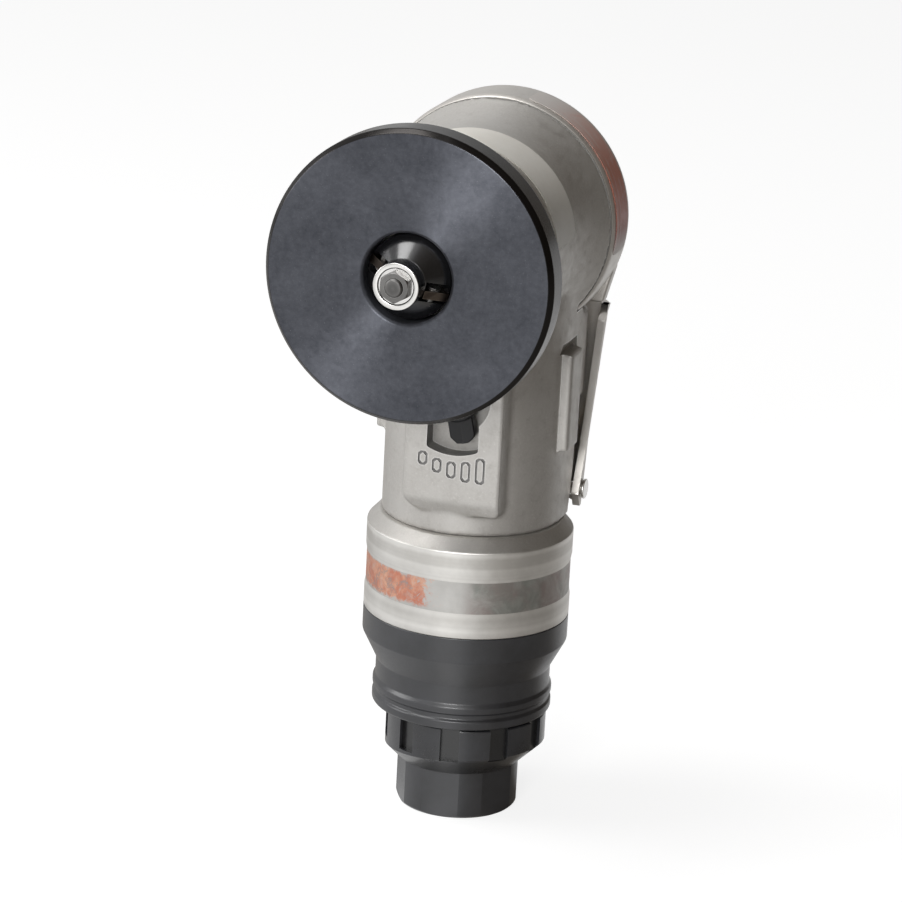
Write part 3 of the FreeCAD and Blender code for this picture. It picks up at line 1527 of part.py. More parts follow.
def sub_parts():
    """Give every node's name with its solid."""
    front_outer, front_inner, front_balls = bearing(
        front_bearing_diameter, spindle_front_diameter, front_bearing_width,
        front_bearing_front, front_ball_count)
    rear_outer, rear_inner, rear_balls = bearing(
        rear_bearing_diameter, spindle_rear_diameter, rear_bearing_width,
        rear_bearing_front, rear_ball_count)
    return {
        "housing": housing(),
        "rear_cover": rear_cover(),
        "cover_gasket": cover_gasket(),
        "cover_screws": cover_screws(),
        "nose_label": nose_label(),
        "rim_label": rim_label(),
        "front_end_plate": front_end_plate(),
        "rear_end_plate": rear_end_plate(),
        "motor_cylinder": motor_cylinder(),
        "locating_pin": locating_pin(),
        "rotor": rotor(),
        "rotor_vanes": rotor_vanes(),
        "spindle": spindle(),
        "shaft_seal": shaft_seal(),
        "wave_washer": wave_washer(),
        "front_bearing_outer": front_outer,
        "front_bearing_inner": front_inner,
        "front_bearing_balls": front_balls,
        "rear_bearing_outer": rear_outer,
        "rear_bearing_inner": rear_inner,
        "rear_bearing_balls": rear_balls,
        "cutter_body": cutter_body(),
        "cutter_inserts": cutter_inserts(),
        "insert_screws": insert_screws(),
        "pilot_ring": pilot_ring(),
        "pilot_inner_ring": pilot_inner_ring(),
        "pilot_shield": pilot_shield(),
        "pilot_balls": pilot_balls(),
        "pilot_nut": pilot_nut(),
        "pilot_stud": pilot_stud(),
        "guide_plate": guide_plate(),
        "plate_key": plate_key(),
        "adjusting_ring": adjusting_ring(),
        "ring_lock_screw": ring_lock_screw(),
        "regulator_lever": regulator_lever(),
        "regulator_stem": regulator_stem(),
        "regulator_oring": regulator_oring(),
        "regulator_screw": regulator_screw(),
        "throttle_lever": throttle_lever(),
        "lever_pin": lever_pin(),
        "valve_bushing": valve_bushing(),
        "valve_plunger": valve_plunger(),
        "valve_oring": valve_oring(),
        "valve_spring": valve_spring(),
        "handle_collar": handle_collar(),
        "exhaust_housing": exhaust_housing(),
        "silencer_felt": silencer_felt(),
        "exhaust_deflector": exhaust_deflector(),
        "deflector_oring": deflector_oring(),
        "inlet_bushing": inlet_bushing(),
        "inlet_strainer": inlet_strainer(),
        "inlet_oring": inlet_oring(),
    }


def main():
    os.makedirs("parts", exist_ok=True)
    for name, shape in sub_parts().items():
        shape.exportStep(os.path.join("parts", name + ".step"))
        box = shape.BoundBox
        print(name, len(shape.Solids), shape.isValid(), round(shape.Volume, 1),
              [round(v, 2) for v in (box.XMin, box.XMax, box.YMin, box.YMax, box.ZMin, box.ZMax)])


main()
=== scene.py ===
"""Pneumatic chamfering machine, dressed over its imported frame.

Every length is in metres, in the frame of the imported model: +Z runs up the handle from the
mouth of the air inlet, and the spindle looks along -Y. Sizes of pieces on the spindle are
given as distances ahead of the handle's axis, so a larger figure is nearer to the work.
"""

from __future__ import annotations

import json
import logging
import math
from dataclasses import dataclass, field
from enum import Enum
from typing import Iterable, Protocol, Sequence

import bmesh
import bpy
import numpy as np
from mathutils import Matrix, Vector


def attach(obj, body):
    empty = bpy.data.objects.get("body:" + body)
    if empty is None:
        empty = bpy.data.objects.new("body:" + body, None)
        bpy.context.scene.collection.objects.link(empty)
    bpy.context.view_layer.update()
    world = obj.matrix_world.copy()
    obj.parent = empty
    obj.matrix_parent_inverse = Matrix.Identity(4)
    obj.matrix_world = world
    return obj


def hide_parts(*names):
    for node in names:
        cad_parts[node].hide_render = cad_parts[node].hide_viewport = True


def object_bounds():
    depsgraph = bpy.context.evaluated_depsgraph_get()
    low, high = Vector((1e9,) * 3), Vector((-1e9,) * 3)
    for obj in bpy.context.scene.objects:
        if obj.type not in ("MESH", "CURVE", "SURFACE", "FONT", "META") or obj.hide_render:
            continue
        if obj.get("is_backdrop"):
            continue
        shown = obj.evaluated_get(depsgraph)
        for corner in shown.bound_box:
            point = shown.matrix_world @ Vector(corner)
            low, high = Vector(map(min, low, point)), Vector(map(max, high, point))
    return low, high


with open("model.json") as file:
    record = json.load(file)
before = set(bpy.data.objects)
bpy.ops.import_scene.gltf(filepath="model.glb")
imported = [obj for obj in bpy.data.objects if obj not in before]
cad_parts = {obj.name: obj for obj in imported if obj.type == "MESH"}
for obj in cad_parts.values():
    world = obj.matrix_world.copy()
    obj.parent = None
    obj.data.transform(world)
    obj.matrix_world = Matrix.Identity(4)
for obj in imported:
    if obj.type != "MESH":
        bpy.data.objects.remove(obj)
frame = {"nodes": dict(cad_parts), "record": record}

LOG = logging.getLogger("chamfering_machine")

MM = 0.001
FULL_TURN = 2 * math.pi
HEX_SIDES = 6
OVERRUN = 2.0 * MM
HEAD_HEIGHT = 123.6 * MM

Piece = bpy.types.Object
Material = bpy.types.Material
Socket = bpy.types.NodeSocket
Point = tuple[float, float]
Outline = list[Point]
Colour = tuple[float, float, float]
Range = tuple[float, ...]


# Frames that pieces are drawn in: FACING has its Z to the front, SIDEWAYS to the right

UPRIGHT = Matrix.Identity(4)
FACING = Matrix(((1, 0, 0, 0), (0, 0, -1, 0), (0, 1, 0, 0), (0, 0, 0, 1)))
SIDEWAYS = Matrix(((0, 0, 1, 0), (1, 0, 0, 0), (0, 1, 0, 0), (0, 0, 0, 1)))


def facing_at(across: float, height: float) -> Matrix:
    """Give a frame whose Z looks to the front, at a place on the handle's front."""
    return Matrix.Translation((across, 0, height)) @ FACING


SPINDLE = facing_at(0, HEAD_HEIGHT)


def spun(degrees: float) -> Matrix:
    """Give a frame turned about Z."""
    return Matrix.Rotation(math.radians(degrees), 4, "Z")


def spokes(count: int, first: float = 0.0) -> list[Matrix]:
    """Give frames spread evenly about Z, the first one turned by so many degrees."""
    start = math.radians(first)
    return [Matrix.Rotation(start + FULL_TURN * i / count, 4, "Z") for i in range(count)]


class Combine(Enum):
    """How one solid changes another."""

    JOIN = "UNION"
    CUT = "DIFFERENCE"
    KEEP_SHARED = "INTERSECT"


class Side(Enum):
    """The two sides of the handle, as the sign of X."""

    RIGHT = 1
    LEFT = -1

    def span(self, near: float, far: float) -> list[float]:
        """Give two distances from the middle as a low and a high X on this side."""
        return sorted((self.value * near, self.value * far))


# Shapes

def add_object(name: str, vertices: np.ndarray, faces: Sequence[Sequence[int]],
               place: Matrix) -> Piece:
    """Make a closed mesh object, with its normals turned outwards.

    Args:
        name: The object's name.
        vertices: Points in the object's own frame.
        faces: Corner indices of each face.
        place: Where the object stands in the row frame.

    Returns:
        The new object, linked to the scene.
    """
    mesh = bpy.data.meshes.new(name)
    mesh.from_pydata([tuple(v) for v in vertices], [], [tuple(f) for f in faces])
    work = bmesh.new()
    work.from_mesh(mesh)
    bmesh.ops.remove_doubles(work, verts=work.verts, dist=1e-7)
    bmesh.ops.recalc_face_normals(work, faces=work.faces)
    work.to_mesh(mesh)
    work.free()
    piece = bpy.data.objects.new(name, mesh)
    bpy.context.scene.collection.objects.link(piece)
    piece.matrix_world = place
    bpy.context.view_layer.update()
    return piece


def soften(outline: Outline, radius: float, steps: int = 4, sharpest: float = 12.0) -> Outline:
    """Round the corners of a closed outline.

    Args:
        outline: The corners, in order.
        radius: How far from a corner the rounding starts.
        steps: How many straight pieces make one rounded corner.
        sharpest: Turns below this many degrees stay as they are.

    Returns:
        The outline with each corner on its own short curve.
    """
    rounded: Outline = []
    for i, here in enumerate(outline):
        before, after = outline[i - 1], outline[(i + 1) % len(outline)]
        into = Vector(here) - Vector(before)
        out = Vector(after) - Vector(here)
        if into.length < 1e-9 or out.length < 1e-9 or here[0] <= 0:
            rounded.append(here)
            continue
        if math.degrees(into.angle(out)) < sharpest:
            rounded.append(here)
            continue
        reach = min(radius, 0.45 * into.length, 0.45 * out.length)
        start = Vector(here) - into.normalized() * reach
        end = Vector(here) + out.normalized() * reach
        for step in range(steps + 1):
            t = step / steps
            point = start * (1 - t) ** 2 + Vector(here) * 2 * t * (1 - t) + end * t ** 2
            rounded.append((point.x, point.y))
    return rounded


def stairs(radius: float, height: float, *moves: float) -> Outline:
    """Give an outline whose radius and height change in turn, the radius first.

    Args:
        radius: The first point's radius.
        height: The first point's height.
        moves: The next radius, the next height, and so on.

    Returns:
        The points.
    """
    points = [(radius, height)]
    for i, value in enumerate(moves):
        points.append((points[-1][0], value) if i % 2 else (value, points[-1][1]))
    return points


def turn(name: str, outline: Outline, place: Matrix = UPRIGHT, segments: int = 192) -> Piece:
    """Spin a closed outline of (radius, along) points about the frame's own Z.

    Args:
        name: The object's name.
        outline: The closed section; points with no radius lie on the axis.
        place: The frame whose Z is the axis.
        segments: Steps round the axis.

    Returns:
        The turned piece.
    """
    section = np.array(outline)
    angles = np.arange(segments) * FULL_TURN / segments
    ring = np.stack([np.cos(angles), np.sin(angles)], axis=1)
    points = np.empty((len(section), segments, 3))
    points[:, :, :2] = section[:, None, :1] * ring[None]
    points[:, :, 2] = section[:, 1:2]
    faces = []
    for i in range(len(section)):
        j = (i + 1) % len(section)
        if section[i, 0] <= 0 and section[j, 0] <= 0:
            continue
        for k in range(segments):
            n = (k + 1) % segments
            faces.append((i * segments + k, i * segments + n, j * segments + n, j * segments + k))
    return add_object(name, points.reshape(-1, 3), faces, place)


def prism(name: str, outline: Outline, low: float, high: float, place: Matrix = UPRIGHT) -> Piece:
    """Extrude a flat closed outline along the frame's own Z.

    Args:
        name: The object's name.
        outline: Corners in the frame's own X and Y.
        low: Where the prism starts along Z.
        high: Where it ends along Z.
        place: The frame that it stands in.

    Returns:
        The prism.
    """
    count = len(outline)
    vertices = np.array([(x, y, z) for z in (low, high) for x, y in outline])
    sides = [(i, (i + 1) % count, (i + 1) % count + count, i + count) for i in range(count)]
    ends = [list(range(count)), list(range(count, 2 * count))]
    return add_object(name, vertices, sides + ends, place)


def box(name: str, low: Sequence[float], high: Sequence[float], place: Matrix = UPRIGHT) -> Piece:
    """Make a block between two corners, used as a tool that cuts other pieces."""
    corners = [(low[0], low[1]), (high[0], low[1]), (high[0], high[1]), (low[0], high[1])]
    return prism(name, corners, low[2], high[2], place)


def rod(name: str, radius: float, low: float, high: float, place: Matrix = UPRIGHT,
        segments: int = 64) -> Piece:
    """Make a plain round bar, used as a tool that cuts other pieces."""
    return turn(name, stairs(0, low, radius, high, 0), place, segments)


def hexagon(flats: float, first: float = 0.0) -> Outline:
    """Give a hexagon's corners from its size across flats and its first corner's angle.

    Args:
        flats: The size across flats.
        first: The first corner's angle in radians.

    Returns:
        The six corners.
    """
    corner = flats / 2 / math.cos(math.pi / HEX_SIDES)
    angles = [first + FULL_TURN * i / HEX_SIDES for i in range(HEX_SIDES)]
    return [(corner * math.cos(a), corner * math.sin(a)) for a in angles]


def arc(centre: Point, radius: float, start: float, end: float, steps: int) -> Outline:
    """Give points on an arc between two angles in degrees, both ends included."""
    angles = [math.radians(start + (end - start) * i / steps) for i in range(steps + 1)]
    return [(centre[0] + radius * math.cos(a), centre[1] + radius * math.sin(a)) for a in angles]


def settle(piece: Piece) -> Piece:
    """Turn a piece's modifiers into its own mesh.

    Args:
        piece: The piece.

    Returns:
        The same piece.
    """
    bpy.context.view_layer.update()
    graph = bpy.context.evaluated_depsgraph_get()
    made = bpy.data.meshes.new_from_object(piece.evaluated_get(graph))
    old = piece.data
    piece.modifiers.clear()
    piece.data = made
    bpy.data.meshes.remove(old)
    return piece


def join(name: str, pieces: Sequence[Piece]) -> Piece:
    """Gather the meshes of several pieces in one object, in the row frame, without merging them.

    Args:
        name: The new object's name.
        pieces: The pieces, which are used up.

    Returns:
        The new object.
    """
    work = bmesh.new()
    for piece in pieces:
        mesh = piece.data.copy()
        mesh.transform(piece.matrix_world)
        work.from_mesh(mesh)
        bpy.data.meshes.remove(mesh)
        bpy.data.objects.remove(piece)
    mesh = bpy.data.meshes.new(name)
    work.to_mesh(mesh)
    work.free()
    joined = bpy.data.objects.new(name, mesh)
    bpy.context.scene.collection.objects.link(joined)
    bpy.context.view_layer.update()
    return joined


def combine(piece: Piece, tools: Iterable[Piece], how: Combine) -> Piece:
    """Join tools to a piece, cut them out of it, or keep what both share.

    Args:
        piece: The solid that changes.
        tools: The solids that change it, which are used up.
        how: What to do with them.

    Returns:
        The changed piece.
    """
    for tool in tools:
        modifier = piece.modifiers.new("combine", "BOOLEAN")
        modifier.operation = how.value
        modifier.solver = "EXACT"
        modifier.object = tool
        settle(piece)
        bpy.data.objects.remove(tool)
    return piece


def cut(piece: Piece, *tools: Piece) -> Piece:
    """Cut tools out of a piece, one after another."""
    return combine(piece, tools, Combine.CUT)


def ease(piece: Piece, width: float, steps: int = 2, angle: float = 30.0) -> Piece:
    """Break the sharp edges of a piece with a small rounding.

    Args:
        piece: The piece.
        width: How wide the rounding is.
        steps: Its straight pieces.
        angle: Only edges that turn by more than this many degrees are rounded.

    Returns:
        The same piece.
    """
    modifier = piece.modifiers.new("ease", "BEVEL")
    modifier.width = width
    modifier.segments = steps
    modifier.limit_method = "ANGLE"
    modifier.angle_limit = math.radians(angle)
    modifier.use_clamp_overlap = True
    return settle(piece)


def shade(piece: Piece, sharp: float = 32.0) -> None:
    """Shade a piece smoothly, with crisp edges where it turns by more than sharp degrees.

    Args:
        piece: The piece.
        sharp: Edges that turn by more than this many degrees stay crisp.
    """
    piece.data.shade_smooth()
    piece.data.set_sharp_from_angle(angle=math.radians(sharp))
    modifier = piece.modifiers.new("even_normals", "WEIGHTED_NORMAL")
    modifier.keep_sharp = True
    modifier.weight = 60


# Material graphs

MIDDLE: Range = (0.3, 0.7)
SUM_MIDDLE: Range = (0.7, 1.3)
SUM_CORE: Range = (0.75, 1.25)


@dataclass(frozen=True)
class Cloud:
    """A cloud pattern: how fine, how detailed, how rough and how bent it is.

    Most of a pattern lies within MIDDLE, and most of a sum of two within SUM_MIDDLE.
    """

    scale: float
    detail: float = 3.0
    rough: float = 0.55
    bend: float = 0.0


class Graph:
    """A material's node tree, with short ways to add what the finishes need."""

    def __init__(self, name: str, world: bpy.types.World | None = None) -> None:
        """Start an empty material of that name, or empty a world's own nodes.

        Args:
            name: The material's name.
            world: The world, where its nodes are used instead.
        """
        self.material = world or bpy.data.materials.new(name)
        self.material.use_nodes = True
        self.nodes = self.material.node_tree.nodes
        self.nodes.clear()
        self.output = self.nodes.new("ShaderNodeOutputWorld" if world else "ShaderNodeOutputMaterial")
        self.place = self.nodes.new("ShaderNodeTexCoord").outputs["Object"]

    def link(self, out: Socket, into: Socket) -> None:
        """Join two sockets."""
        self.material.node_tree.links.new(out, into)

    def put(self, value: Socket | float | Sequence[float], into: Socket) -> None:
        """Link a socket, or set a plain value.

        Args:
            value: The socket or the value.
            into: The socket that takes it.
        """
        if isinstance(value, Socket):
            self.link(value, into)
        else:
            into.default_value = value

    def math(self, operation: str, one: Socket | float,
             other: Socket | float = 0.0) -> Socket:
        """Add a sum on one or two numbers.

        Args:
            operation: The sum's name in Blender.
            one: The first number.
            other: The second number, where the sum has one.

        Returns:
            The result.
        """
        node = self.nodes.new("ShaderNodeMath")
        node.operation = operation
        self.put(one, node.inputs[0])
        self.put(other, node.inputs[1])
        return node.outputs[0]

    def times(self, one: Socket | float, other: Socket | float) -> Socket:
        """Multiply two numbers."""
        return self.math("MULTIPLY", one, other)

    def plus(self, one: Socket | float, other: Socket | float) -> Socket:
        """Add two numbers."""
        return self.math("ADD", one, other)

    def minus(self, one: Socket | float, other: Socket | float) -> Socket:
        """Take the second number from the first."""
        return self.math("SUBTRACT", one, other)

    def vector(self, operation: str, one: Socket,
               other: Socket | Sequence[float] = (0, 0, 0)) -> Socket:
        """Add a sum on vectors; a dot product gives a number.

        Args:
            operation: The sum's name in Blender.
            one: The first vector.
            other: The second vector.

        Returns:
            The result.
        """
        node = self.nodes.new("ShaderNodeVectorMath")
        node.operation = operation
        self.link(one, node.inputs[0])
        self.put(other, node.inputs[1])
        return node.outputs["Value"] if operation == "DOT_PRODUCT" else node.outputs[0]

    def split(self, vector: Socket) -> tuple[Socket, ...]:
        """Give a vector's three numbers.

        Args:
            vector: The vector.

        Returns:
            X, Y and Z.
        """
        node = self.nodes.new("ShaderNodeSeparateXYZ")
        self.link(vector, node.inputs[0])
        return node.outputs[0], node.outputs[1], node.outputs[2]

    def spread(self, value: Socket, low: float, high: float,
               new_low: float = 0.0, new_high: float = 1.0) -> Socket:
        """Map a number from one range to another, clamped.

        Args:
            value: The number.
            low: Where the first range starts.
            high: Where it ends.
            new_low: Where the new range starts.
            new_high: Where it ends.

        Returns:
            The mapped number.
        """
        node = self.nodes.new("ShaderNodeMapRange")
        node.clamp = True
        self.link(value, node.inputs[0])
        for i, number in enumerate((low, high, new_low, new_high)):
            node.inputs[i + 1].default_value = number
        return node.outputs[0]

    def noise(self, cloud: Cloud, along: Socket | None = None) -> Socket:
        """Add a cloud pattern, or bands along one number.

        Args:
            cloud: The pattern's settings.
            along: The number that bands follow, where the pattern is bands.

        Returns:
            The pattern, mostly within MIDDLE.
        """
        node = self.nodes.new("ShaderNodeTexNoise")
        node.noise_dimensions = "3D" if along is None else "1D"
        if along is None:
            self.link(self.place, node.inputs["Vector"])
        else:
            self.link(along, node.inputs["W"])
        for name, value in (("Scale", cloud.scale), ("Detail", cloud.detail),
                            ("Roughness", cloud.rough), ("Distortion", cloud.bend)):
            node.inputs[name].default_value = value
        return node.outputs[0]

    def cells(self, scale: float) -> Socket:
        """Add a pattern of rounded cells.

        Args:
            scale: How fine the cells are.

        Returns:
            The distance from each cell's middle.
        """
        node = self.nodes.new("ShaderNodeTexVoronoi")
        self.link(self.place, node.inputs["Vector"])
        node.inputs["Scale"].default_value = scale
        return node.outputs["Distance"]

    def axes(self) -> tuple[Socket, ...]:
        """Give X, Y and Z in the piece's own frame."""
        return self.split(self.place)

    def around(self) -> Socket:
        """Give the angle about the piece's own Z in degrees, from X towards Y."""
        x, y, _ = self.axes()
        return self.times(self.math("ARCTAN2", y, x), 180.0 / math.pi)

    def lathe_radius(self) -> Socket:
        """Give the distance from a turned piece's axis.

        Returns:
            The radius.
        """
        x, y, _ = self.axes()
        squares = self.plus(self.times(x, x), self.times(y, y))
        return self.math("SQRT", squares)

    def lathe_path(self) -> Socket:
        """Give a number that grows along a turned piece's section: its radius plus its height."""
        return self.plus(self.lathe_radius(), self.axes()[2])

    def blend(self, share: Socket | float, one: Socket | Colour,
              other: Socket | Colour) -> Socket:
        """Mix two colours.

        Args:
            share: How much of the second colour shows.
            one: The first colour.
            other: The second colour.

        Returns:
            The mixed colour.
        """
        node = self.nodes.new("ShaderNodeMix")
        node.data_type = "RGBA"
        self.put(share, node.inputs[0])
        for value, socket in ((one, node.inputs[6]), (other, node.inputs[7])):
            self.put(value if isinstance(value, Socket) else (*value, 1.0), socket)
        return node.outputs[2]

    def bump(self, height: Socket, depth: float, strength: float,
             over: Socket | None = None) -> Socket:
        """Add relief of a given depth, on top of another normal where one is given.

        Args:
            height: The pattern that gives the relief.
            depth: How deep it is.
            strength: How strongly it shows.
            over: The normal that it lies on.

        Returns:
            The new normal.
        """
        node = self.nodes.new("ShaderNodeBump")
        node.inputs["Strength"].default_value = strength
        node.inputs["Distance"].default_value = depth
        self.link(height, node.inputs["Height"])
        if over is not None:
            self.link(over, node.inputs["Normal"])
        return node.outputs[0]

    def edges(self, radius: float, low: float = 0.01, high: float = 0.12) -> Socket:
        """Give a mask that is bright on the edges of the piece.

        Args:
            radius: How wide the edges are.
            low: The turn where the mask starts.
            high: The turn where it is full.

        Returns:
            The mask.
        """
        bevel = self.nodes.new("ShaderNodeBevel")
        bevel.samples = 4
        bevel.inputs["Radius"].default_value = radius
        surface = self.nodes.new("ShaderNodeNewGeometry")
        same = self.vector("DOT_PRODUCT", bevel.outputs[0], surface.outputs["Normal"])
        return self.spread(self.minus(1.0, same), low, high)

    def round_tangent(self) -> Socket:
        """Give the direction round a turned piece's axis.

        Returns:
            The direction.
        """
        node = self.nodes.new("ShaderNodeTangent")
        node.direction_type = "RADIAL"
        node.axis = "Z"
        return node.outputs[0]

    def finish(self, colour: Socket, rough: Socket,
               normal: Socket, metal: float, tangent: Socket | None = None,
               **settings: float) -> Material:
        """Add the shader, link the surface and give the material.

        Args:
            colour: The colour all over the surface.
            rough: The roughness all over the surface.
            normal: The relief.
            metal: How metallic the surface is.
            tangent: The direction of its brushing, where it has one.
            settings: Plain values of the shader's other sockets, by their names.

        Returns:
            The material.
        """
        shader = self.nodes.new("ShaderNodeBsdfPrincipled")
        self.link(colour, shader.inputs["Base Color"])
        self.link(rough, shader.inputs["Roughness"])
        self.link(normal, shader.inputs["Normal"])
        if tangent is not None:
            self.link(tangent, shader.inputs["Tangent"])
        shader.inputs["Metallic"].default_value = metal
        for name, value in settings.items():
            shader.inputs[name.replace("_", " ")].default_value = value
        self.link(shader.outputs[0], self.output.inputs["Surface"])
        return self.material


class Finish(Protocol):
    """What dresses a piece."""

    name: str

    def build(self) -> Material:
        """Make the material."""


@dataclass(frozen=True)
class CastFinish:
    """Blasted casting: fine grain, cloudy tone, brighter worn edges."""

    name: str
    light: Colour
    dark: Colour
    worn: Colour
    clouds: Cloud = Cloud(110.0, 5.0, 0.65)
    mottles: Cloud = Cloud(480.0, 4.0, 0.65)
    grain: Cloud = Cloud(2300.0, 4.0, 0.7)
    grain_relief: Range = (0.05 * MM, 0.55)
    pit_scale: float = 1300.0
    pit_walls: Range = (0.02, 0.16)
    pit_relief: Range = (0.02 * MM, 0.35)
    tone: Range = (0.20, 0.75, 0.35, 1.0)
    speckle: Range = (0.35, 0.68, 0.0, 0.75)
    sparkle: Range = (0.64, 0.74, 0.0, 0.6)
    stain: Range = (0.56, 0.72)
    stain_share: float = 0.30
    edge: float = 0.45 * MM
    edge_wear: Range = (0.30, 0.60, 0.25, 1.0)
    edge_polish: float = 0.15
    rough: Range = (0.42, 0.60)
    metal: float = 0.75

    def build(self) -> Material:
        """Make the material: grain and clouds between two tones, then stains and worn edges.

        Returns:
            The material.
        """
        g = Graph(self.name)
        mottles, grain = g.noise(self.mottles), g.noise(self.grain)
        pits = g.spread(g.cells(self.pit_scale), *self.pit_walls)
        colour = g.blend(g.spread(g.noise(self.clouds), *self.tone), self.dark, self.light)
        colour = g.blend(g.spread(grain, *self.speckle), colour, self.light)
        colour = g.blend(g.spread(grain, *self.sparkle), colour, self.worn)
        stains = g.times(g.spread(mottles, *self.stain), self.stain_share)
        colour = g.blend(stains, colour, self.dark)
        worn = g.times(g.edges(self.edge), g.spread(mottles, *self.edge_wear))
        colour = g.blend(worn, colour, self.worn)
        rough = g.spread(mottles, *MIDDLE, *self.rough)
        rough = g.minus(rough, g.times(worn, self.edge_polish))
        relief = g.bump(grain, *self.grain_relief)
        relief = g.bump(pits, *self.pit_relief, relief)
        return g.finish(colour, rough, relief, self.metal)


@dataclass(frozen=True)
class TurnedFinish:
    """Lathe-turned metal: fine rings round the axis, with scuffs and cleaner edges."""

    name: str
    light: Colour
    dark: Colour
    worn: Colour
    rings: Cloud = Cloud(9000.0, 4.0, 0.7)
    ring_relief: Range = (0.006 * MM, 0.5)
    bands: Cloud = Cloud(420.0, 2.0, 0.5)
    clouds: Cloud = Cloud(120.0, 4.0, 0.6)
    scuffs: Cloud = Cloud(700.0, 5.0, 0.75, 1.5)
    scuff_marks: Range = (0.62, 0.80, 0.0, 0.35)
    scuff_rough: float = 0.2
    scuff_relief: Range = (0.01 * MM, 0.12)
    edge: float = 0.25 * MM
    edge_wear: Range = (0.35, 0.60, 0.3, 1.0)
    rough: Range = (0.22, 0.36)
    metal: float = 1.0
    anisotropy: float = 0.5

    def build(self) -> Material:
        """Make the material: rings along the section, then scuffs and worn edges.

        Returns:
            The material.
        """
        g = Graph(self.name)
        path = g.lathe_path()
        rings, bands = g.noise(self.rings, path), g.noise(self.bands, path)
        clouds, scuffs = g.noise(self.clouds), g.noise(self.scuffs)
        colour = g.blend(g.spread(g.plus(bands, clouds), *SUM_CORE), self.dark, self.light)
        marks = g.spread(scuffs, *self.scuff_marks)
        colour = g.blend(marks, colour, self.worn)
        worn = g.times(g.edges(self.edge), g.spread(scuffs, *self.edge_wear))
        colour = g.blend(worn, colour, self.worn)
        rough = g.spread(g.plus(rings, clouds), *SUM_MIDDLE, *self.rough)
        rough = g.plus(rough, g.times(marks, self.scuff_rough))
        relief = g.bump(rings, *self.ring_relief)
        relief = g.bump(scuffs, *self.scuff_relief, relief)
        tangent = g.round_tangent() if self.anisotropy else None
        return g.finish(colour, rough, relief, self.metal, tangent, Anisotropic=self.anisotropy)


@dataclass(frozen=True)
class PlateFinish:
    """Blued steel plate: dark slate, softly mottled, with a black rim and worn edges."""

    name: str
    light: Colour
    dark: Colour
    worn: Colour
    black: Colour = (0.022, 0.020, 0.019)
    clouds: Cloud = Cloud(95.0, 6.0, 0.68, 0.3)
    mottles: Cloud = Cloud(760.0, 5.0, 0.75)
    mottle_share: float = 0.8
    mottle_relief: Range = (0.012 * MM, 0.22)
    tone: Range = (0.55, 1.25)
    specks: Cloud = Cloud(3400.0, 2.0, 0.6)
    dust: Range = (0.66, 0.78, 0.0, 0.30)
    rings: Cloud = Cloud(3000.0, 3.0, 0.6)
    ring_relief: Range = (0.004 * MM, 0.25)
    rim_radius: float = 27.4 * MM
    rim_blur: float = 0.15 * MM
    rim_polish: float = 0.16
    edge: float = 0.30 * MM
    edge_low: float = 0.02
    edge_high: float = 0.20
    edge_wear: Range = (0.35, 0.62, 0.35, 1.0)
    rough: Range = (0.30, 0.40)
    metal: float = 0.8
    anisotropy: float = 0.88
    brushing: float = 0.25

    def build(self) -> Material:
        """Make the material: clouds and dust on the face, black past its radius, worn edges.

        Returns:
            The material.
        """
        g = Graph(self.name)
        clouds, mottles = g.noise(self.clouds), g.noise(self.mottles)
        rings = g.noise(self.rings, g.lathe_path())
        tone = g.spread(g.plus(clouds, g.times(mottles, self.mottle_share)), *self.tone)
        colour = g.blend(tone, self.dark, self.light)
        colour = g.blend(g.spread(g.noise(self.specks), *self.dust), colour, self.worn)
        rim = g.spread(g.lathe_radius(), self.rim_radius, self.rim_radius + self.rim_blur)
        colour = g.blend(rim, colour, self.black)
        edges = g.edges(self.edge, self.edge_low, self.edge_high)
        worn = g.times(edges, g.spread(mottles, *self.edge_wear))
        colour = g.blend(worn, colour, self.worn)
        rough = g.spread(g.plus(clouds, rings), *SUM_MIDDLE, *self.rough)
        rough = g.minus(rough, g.times(rim, self.rim_polish))
        relief = g.bump(rings, *self.ring_relief)
        relief = g.bump(mottles, *self.mottle_relief, relief)
        return g.finish(colour, rough, relief, self.metal, g.round_tangent(),
                        Anisotropic=self.anisotropy, Anisotropic_Rotation=self.brushing)


